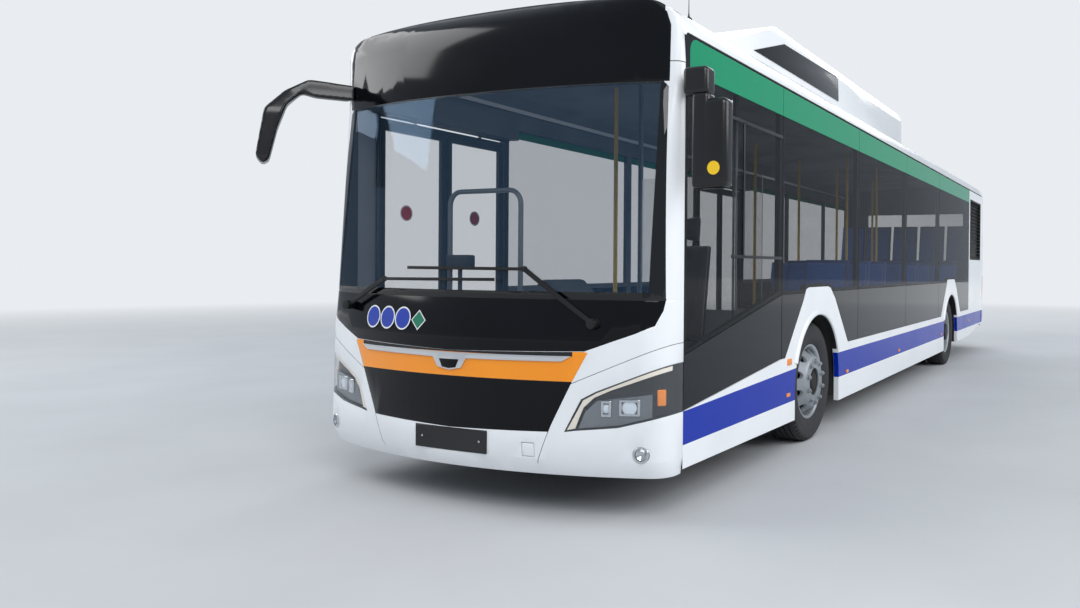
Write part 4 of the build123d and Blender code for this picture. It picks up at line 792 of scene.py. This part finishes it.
rim = lathed("rim", RIM, 120)
holes = lathed("hole", ((0.03, 0), (0.03, 0.0245), (0.17, 0.0245), (0.17, 0)), 28, False)
holes.scale = (1, 1.25, 1)
ten_round(placed(holes, (0, 0, 0.2395)))
modified(rim, "BOOLEAN", object=holes, operation="DIFFERENCE", solver="EXACT")
bpy.data.objects.remove(holes)

# One nut with its washer and stud, then nine more round the circle
hexagon = lathed("nut", ((0.003, 0), (0.003, 0.019), (0.021, 0.019), (0.024, 0.016), (0.024, 0)), 6, False)
washer = lathed("washer", ((-0.001, 0), (-0.001, 0.0235), (0.003, 0.0235), (0.005, 0.020), (0.005, 0)),
                28, False)
stud = lathed("stud", ((0.020, 0), (0.020, 0.0105), (0.0295, 0.0105), (0.031, 0.009), (0.031, 0)), 20, False)
nuts = placed(joined([hexagon, washer, stud], "nuts"), (0, 0, 0.1675))
ten_round(nuts)
FACE = 0.15585
front_hub = lathed("hub", ((-0.015, 0), (-0.015, 0.12), (0.1415, 0.12), (0.1415, 0.112), (0.136, 0.098),
                           (0.136, 0.070), (0.146, 0.069), (0.1525, 0.062), (0.1545, 0.03), (0.155, 0)),
                   64, False)
rear_hub = lathed("hub", ((-0.155, 0), (-0.155, 0.12), (0.112, 0.12), (0.126, 0.112), (0.131, 0.095),
                          (0.131, 0.05), (0.128, 0.0)), 64, False)
twin_rim = twin(rim, "turned", flip=True)
for side, name in ((False, "left"), (True, "right")):
    front = twin(rim, "front_rim_%s_form" % name, (OUTER_X, FRONT_Y, AXLE_Z), side)
    pair = [twin(form, "rear", (x, REAR_Y, AXLE_Z), side) for form, x in ((twin_rim, OUTER_X), (rim, INNER_X))]
    pair = joined(pair, "rear_rims_%s_form" % name)
    for piece, node_name, body in ((front, "front_rim_", "front_wheel_"), (pair, "rear_rims_", "rear_wheels_")):
        finished(piece, silver, body + name)
        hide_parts(node_name + name)
    ring = twin(nuts, "front_nuts_" + name, (OUTER_X + FACE - 0.001, FRONT_Y, AXLE_Z), side)
    finished(ring, silver, "front_wheel_" + name)
    ring = twin(nuts, "rear_nuts_" + name, (OUTER_X - FACE + 0.0135, REAR_Y, AXLE_Z), side)
    finished(ring, silver, "rear_wheels_" + name)
    for hub, on, place_y in ((front_hub, "front_wheel_", FRONT_Y), (rear_hub, "rear_wheels_", REAR_Y)):
        cap = twin(hub, "%s_hub_%s" % (on.split("_")[0], name), (OUTER_X, place_y, AXLE_Z), side)
        finished(cap, hub_iron, on + name)
for spare in (rim, twin_rim, nuts, front_hub, rear_hub):
    bpy.data.objects.remove(spare)

# Doors
# Each leaf is a black alloy frame round one pane, with a rubber finger guard on the meeting edge; a rubber
# seal lies under the header, and the front panes carry a blank red notice on their inner side.
frame_alloy = coated("black door frame", "#1B1D1F", "#25272A", 0.4, 1.2, 0.12, {"Metallic": 0.4})
door_glass, tree, shader, place = new_material("door glass")
grained(tree, shader, place, 3, 1, 0.05, 0.01)
see_through(tree, shader, 0.14)
fill(tree, shader, {"Base Color": "#1A2624", "Roughness": 0.03})
DOORS_Y = {"front": -4.83, "middle": 0.05}
for door, door_y in DOORS_Y.items():
    for leaf, sign in (("a", -1), ("b", 1)):
        body = "%s_door_leaf_%s" % (door, leaf)
        relined(body, body + "_frame", frame_alloy, 0.002, body)
        flat_lit(relined("%s_door_glass_%s" % (door, leaf), "%s_door_pane_%s" % (door, leaf),
                         door_glass, 0.001, body))
        arm = "%s_door_arm_%s" % (door, leaf)
        relined(arm, arm + "_steel", frame_alloy, 0.001, arm)
        low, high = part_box(body)
        near, far = sorted((door_y + sign * 0.0005, door_y + sign * 0.0085))
        guard = boxed(body + "_guard", (low[0] + 0.002, near, low[2] + 0.02),
                      (low[0] + 0.030, far, high[2] - 0.02), 0.003)
        finished(guard, rubber, body)
    seal = boxed(door + "_door_head_seal", (-1.262, door_y - 0.64, 2.4463),
                 (-1.252, door_y + 0.64, 2.4517), 0.0015)
    finished(seal, rubber)
for leaf, y in (("a", -5.20), ("b", -4.49)):
    low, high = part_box("front_door_glass_" + leaf)
    notice("door_notice_" + leaf, 0.058, 40, (high[0], y, 1.778), (0, 0, 0), red_film,
           "front_door_leaf_" + leaf)

# Floor, wheelhouses and underside
# Speckled grey safety vinyl on the floor and the raised rear platform, grey lining on the wheelhouses,
# and a black stone-chip coat with road dirt on all that faces the road.
vinyl, tree, shader, place = new_material("speckled floor vinyl")
flecks = node(tree, "TexVoronoi", {"Vector": place, "Scale": 160})
fleck = node(tree, "MapRange", {"Value": flecks, "From Min": 0.15, "From Max": 0.25})
tint = node(tree, "Mix", {"Factor": fleck, "A": "#8C9299", "B": "#4C5259"}, data_type="RGBA")
bump = node(tree, "Bump", {"Height": flecks, "Strength": 0.2, "Distance": 0.001})
fill(tree, shader, {"Base Color": tint, "Normal": bump, "Roughness": 0.55})
chassis_coat = coated("black chassis coat", "#17181A", "#3A3631", 0.7, 3, 0.5)
base = relined("underframe", "underframe_coat", chassis_coat, 0.003)


def in_wheelhouse(at):
    nearest = min(abs(at.y - FRONT_Y), abs(at.y - REAR_Y))
    return abs(at.x) > 0.56 and hypot(nearest, at.z - AXLE_Z) < 0.57


FLOOR_Z, PLATFORM_Z = 0.35, 1.04
zoned(base, grey_lining, lambda at, facing: at.z > FLOOR_Z + 0.002 and not in_wheelhouse(at))
zoned(base, vinyl, lambda at, facing: facing.z > 0.98
      and min(abs(at.z - FLOOR_Z), abs(at.z - PLATFORM_Z)) < 0.01)
iron = coated("black axle iron", "#1C1C1D", "#3B342C", 0.6, 2, 0.5, {"Metallic": 0.3})
relined("axles", "axle_castings", iron, 0.004)
for name in ("left", "right"):
    relined("knuckle_" + name, "knuckle_forging_" + name, iron, 0.002, "knuckle_" + name)
relined("engine", "engine_block", iron, 0.012)

# Rear lamps and louvre
# Upright lamp clusters in red, with an amber and a clear window at their feet, and a black slatted
# air intake in the last left bay, with a matt black box behind it as painted shade.
red_lens = coated("red lamp lens", "#B3141C", "#A81119", 0.12, 2.5, 0.35, CLEAR_COAT)
clear_lens = coated("clear ribbed lens", "#DDE0E2", "#D2D6D9", 0.12, 2.5, 0.35, CLEAR_COAT)
lamps = relined("tail_lamps", "tail_lamp_lenses", red_lens, 0.003)
CLEAR_TOP_Z, AMBER_TOP_Z = 0.86, 0.98
for height in (CLEAR_TOP_Z, AMBER_TOP_Z):
    split_at(lamps, (0, 0, height), (0, 0, 1))
zoned(lamps, clear_lens, lambda at, facing: at.z < CLEAR_TOP_Z)
zoned(lamps, amber, lambda at, facing: CLEAR_TOP_Z < at.z < AMBER_TOP_Z)
relined("louvre", "louvre_slats", matt_black_and_shade, 0.0008)
low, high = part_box("louvre")
# A matt black box just behind the slats: painted shade in the depth of the intake
shade_box = boxed("louvre_shade_box", (low[0] - 0.014, low[1] - 0.01, low[2] - 0.01),
             (low[0] - 0.004, high[1] + 0.01, high[2] + 0.01))
finished(shade_box, matt_black_and_shade)

# Handrails and cab partition
# Steel tube in a yellow powder coat from floor to ceiling, and a grey cab wall with a pane above it.
rail_coat = coated("yellow powder coat", "#D9B43A", "#CDA935", 0.4, 1.2, 0.2)
relined("handrails", "handrail_tubes", rail_coat, 0.001)
cab_wall = relined("cab_partition", "cab_wall", grey_lining, 0.003)
zoned(cab_wall, door_glass, lambda at, facing: 1.12 < at.z < 2.06 and abs(facing.y) > 0.9 and at.x < 1.228)


def piped(name, points, radius, corner):
    # A chain of edges whose corners are rounded, given a round section and closed ends
    piece = chained(name, points, False)
    bpy.ops.mesh.select_all(action="DESELECT")
    leave_edit()
    for vertex in piece.data.vertices:
        vertex.select = min((vertex.co - Vector(end)).length for end in (points[0], points[-1])) > 0.001
    bpy.ops.object.mode_set(mode="EDIT")
    if corner:
        bpy.ops.mesh.bevel(affect="VERTICES", offset=corner, segments=8)
    leave_edit()
    alone(piece)
    bpy.ops.object.convert(target="CURVE")
    piece.data.bevel_depth = radius
    piece.data.bevel_resolution = 3
    piece.data.use_fill_caps = True
    bpy.ops.object.convert(target="MESH")
    bpy.ops.object.mode_set(mode="EDIT")
    closed_up()
    return bpy.context.object


# A hoop of grey tube stands by the windscreen beside the cab
grey_tube = coated("grey powder coat", "#5B6064", "#54595D", 0.35, 1.2, 0.15)
hoop = piped("front_hoop", [(-0.56, -5.5, 0.36), (-0.56, -5.5, 1.885), (0.02, -5.5, 1.885), (0.02, -5.5, 1.14)],
             0.016, 0.09)
finished(hoop, grey_tube)

# Dashboard and steering wheel
# A grained black moulding with an instrument panel let into its slope and a ticket box on a stalk;
# the wheel is a round moulded rim on two spokes over a slim column.
relined("dashboard", "dashboard_moulding", moulded, 0.012)
panel = boxed("instruments", (-0.21, -0.075, -0.004), (0.21, 0.075, 0.012), 0.008)
panel = placed(panel, (0.72, -5.51, 1.102), (radians(-31.5), 0, 0))
finished(panel, gloss_black)
box = boxed("ticket_box", (-0.545, -5.56, 1.385), (-0.37, -5.47, 1.47), 0.012)
post = piped("post", [(-0.46, -5.515, 0.36), (-0.46, -5.515, 1.39)], 0.014, 0)
finished(joined([box, post], "ticket_box"), moulded)
deselect()
bpy.ops.mesh.primitive_torus_add(major_radius=0.225, minor_radius=0.0148, major_segments=80, minor_segments=14)
ring = bpy.context.object
spokes = boxed("spokes", (-0.222, -0.018, -0.006), (0.222, 0.018, 0.006), 0.005)
boss = lathed("boss", ((0.018, 0), (0.017, 0.04), (0.010, 0.054), (-0.018, 0.055), (-0.018, 0)), 40, False)
column = lathed("column", ((-0.33, 0), (-0.33, 0.0275), (-0.015, 0.0275), (-0.015, 0)), 32, False)
for part in (boss, column):
    placed(part, (0, 0, 0), (0, -pi / 2, 0))
wheel = joined([ring, spokes, boss, column], "steering_wheel_form")
placed(wheel, (0.72, -5.33, 1.13), (radians(-28), 0, 0))
finished(wheel, moulded)
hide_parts("steering_wheel")

# Seats
# Moulded shells on pedestals with thin woven pads, crowned and closed, one on the pan and one on the back.
fabric, tree, shader, place = new_material("blue woven seat fabric")
warp, weft = [node(tree, "TexWave", {"Vector": place, "Scale": 300}, bands_direction=way).outputs["Fac"]
              for way in "XZ"]
weave = node(tree, "Math", {0: warp, 1: weft}, operation="MULTIPLY")
fluff = node(tree, "TexNoise", {"Vector": place, "Scale": 30, "Detail": 5})
tint = node(tree, "Mix", {"Factor": fluff, "A": "#1D4A93", "B": "#2F68B8"}, data_type="RGBA")
bump = node(tree, "Bump", {"Height": weave, "Strength": 0.4, "Distance": 0.001})
fill(tree, shader, {"Base Color": tint, "Normal": bump, "Roughness": 0.85, "Sheen Weight": 0.4})
shell_plastic = coated("blue seat moulding", "#1C3F7C", "#1F447F", 0.4, 1, 0.2)
relined("passenger_seats", "seat_mouldings", shell_plastic, 0.008)


def cushion(name, half_x, half_y, thick):
    # A pad with a crowned face and a sunk seam round its edge
    pad = boxed(name, (-half_x, -half_y, 0), (half_x, half_y, thick * 0.7), thick * 0.3, 3)
    pick_faces(pad, lambda at, facing: facing.z > 0.99)
    bpy.ops.mesh.inset(thickness=0.012, depth=-0.003)
    bpy.ops.mesh.inset(thickness=0.010, depth=0.006)
    bpy.ops.mesh.inset(thickness=half_x * 0.3, depth=thick * 0.3)
    leave_edit()
    modified(pad, "SUBSURF", levels=1, render_levels=1)
    return pad


SEATS = ((960, -2240, 760), (960, -1500, 760), (960, -830, 760), (960, 0, 760), (960, 830, 760),
         (500, -1500, 760), (500, -830, 760), (500, 0, 760), (500, 830, 760), (-960, -1500, 760),
         (-960, 1650, 760), (960, 1650, 760), (960, 3640, 760), (-960, 3640, 760), (500, 3640, 760),
         (-500, 3640, 760), (-960, 5200, 1440), (-480, 5200, 1440), (0, 5200, 1440), (480, 5200, 1440),
         (960, 5200, 1440))
pan_pad = placed(cushion("pan", 0.19, 0.165, 0.03), (0, -0.255, 0.0655), (radians(-1.5), 0, 0))
back_pad = placed(cushion("back", 0.19, 0.29, 0.028), (0, -0.004, 0.40), (radians(78.9), 0, 0))
pads = joined([pan_pad, back_pad], "pads")
copies = [twin(pads, "pad", (x / 1000, y / 1000, z / 1000)) for x, y, z in SEATS]
bpy.data.objects.remove(pads)
pads = joined(copies, "seat_pads")
finished(pads, fabric, smooth=60)

# Driver's seat
# A boxed pedestal with three stuffed cushions in dark cloth: pan, back and headrest, each with a sunk seam.
# The cushions are filled by a short cloth run with air pressure, and no point may move more than 12 mm.
cloth_grey = fabric.copy()
cloth_grey.name = "dark woven seat cloth"
for item in cloth_grey.node_tree.nodes:
    if item.bl_idname == "ShaderNodeMix":
        fill(cloth_grey.node_tree, item, {"A": "#23262C", "B": "#31353D"})
pan = placed(cushion("pan", 0.222, 0.212, 0.075), (0.72, -4.98, 0.812))
back = placed(cushion("back", 0.216, 0.335, 0.07), (0.72, -4.665, 1.225), (radians(80.9), 0, 0))
head = placed(cushion("head", 0.118, 0.088, 0.06), (0.72, -4.572, 1.665), (radians(82.5), 0, 0))
stuffed = joined([pan, back, head], "driver_cushions")
modified(stuffed, "REMESH", mode="VOXEL", voxel_size=0.006)
rest = [vertex.co.copy() for vertex in stuffed.data.vertices]
alone(stuffed)
cloth = stuffed.modifiers.new("filling", "CLOTH")
cloth.settings.quality = 4
cloth.settings.mass = 0.25
cloth.settings.use_pressure = True
cloth.settings.uniform_pressure_force = 4
cloth.settings.effector_weights.gravity = 0
cloth.point_cache.frame_start = 1
cloth.point_cache.frame_end = 20
for moment in range(1, 21):
    bpy.context.scene.frame_set(moment)
bpy.ops.object.modifier_apply(modifier="filling")
for vertex, start in zip(stuffed.data.vertices, rest):
    move = vertex.co - start
    if move.length > 0.012:
        vertex.co = start + move.normalized() * 0.012
finished(stuffed, cloth_grey, smooth=60)
frame_parts = [boxed("foot", (0.57, -5.12, 0.3505), (0.87, -4.85, 0.80), 0.015),
               boxed("tray", (0.485, -5.205, 0.785), (0.955, -4.755, 0.812), 0.012),
               placed(boxed("spine", (-0.2, -0.33, -0.035), (0.2, 0.33, 0.004), 0.015), (0.72, -4.665, 1.225),
                      (radians(80.9), 0, 0)),
               piped("stem", [(0.66, -4.60, 1.50), (0.66, -4.575, 1.62)], 0.008, 0),
               piped("stem", [(0.78, -4.60, 1.50), (0.78, -4.575, 1.62)], 0.008, 0)]
seat_frame = joined(frame_parts, "driver_seat_frame")
finished(seat_frame, moulded)
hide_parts("driver_seat")
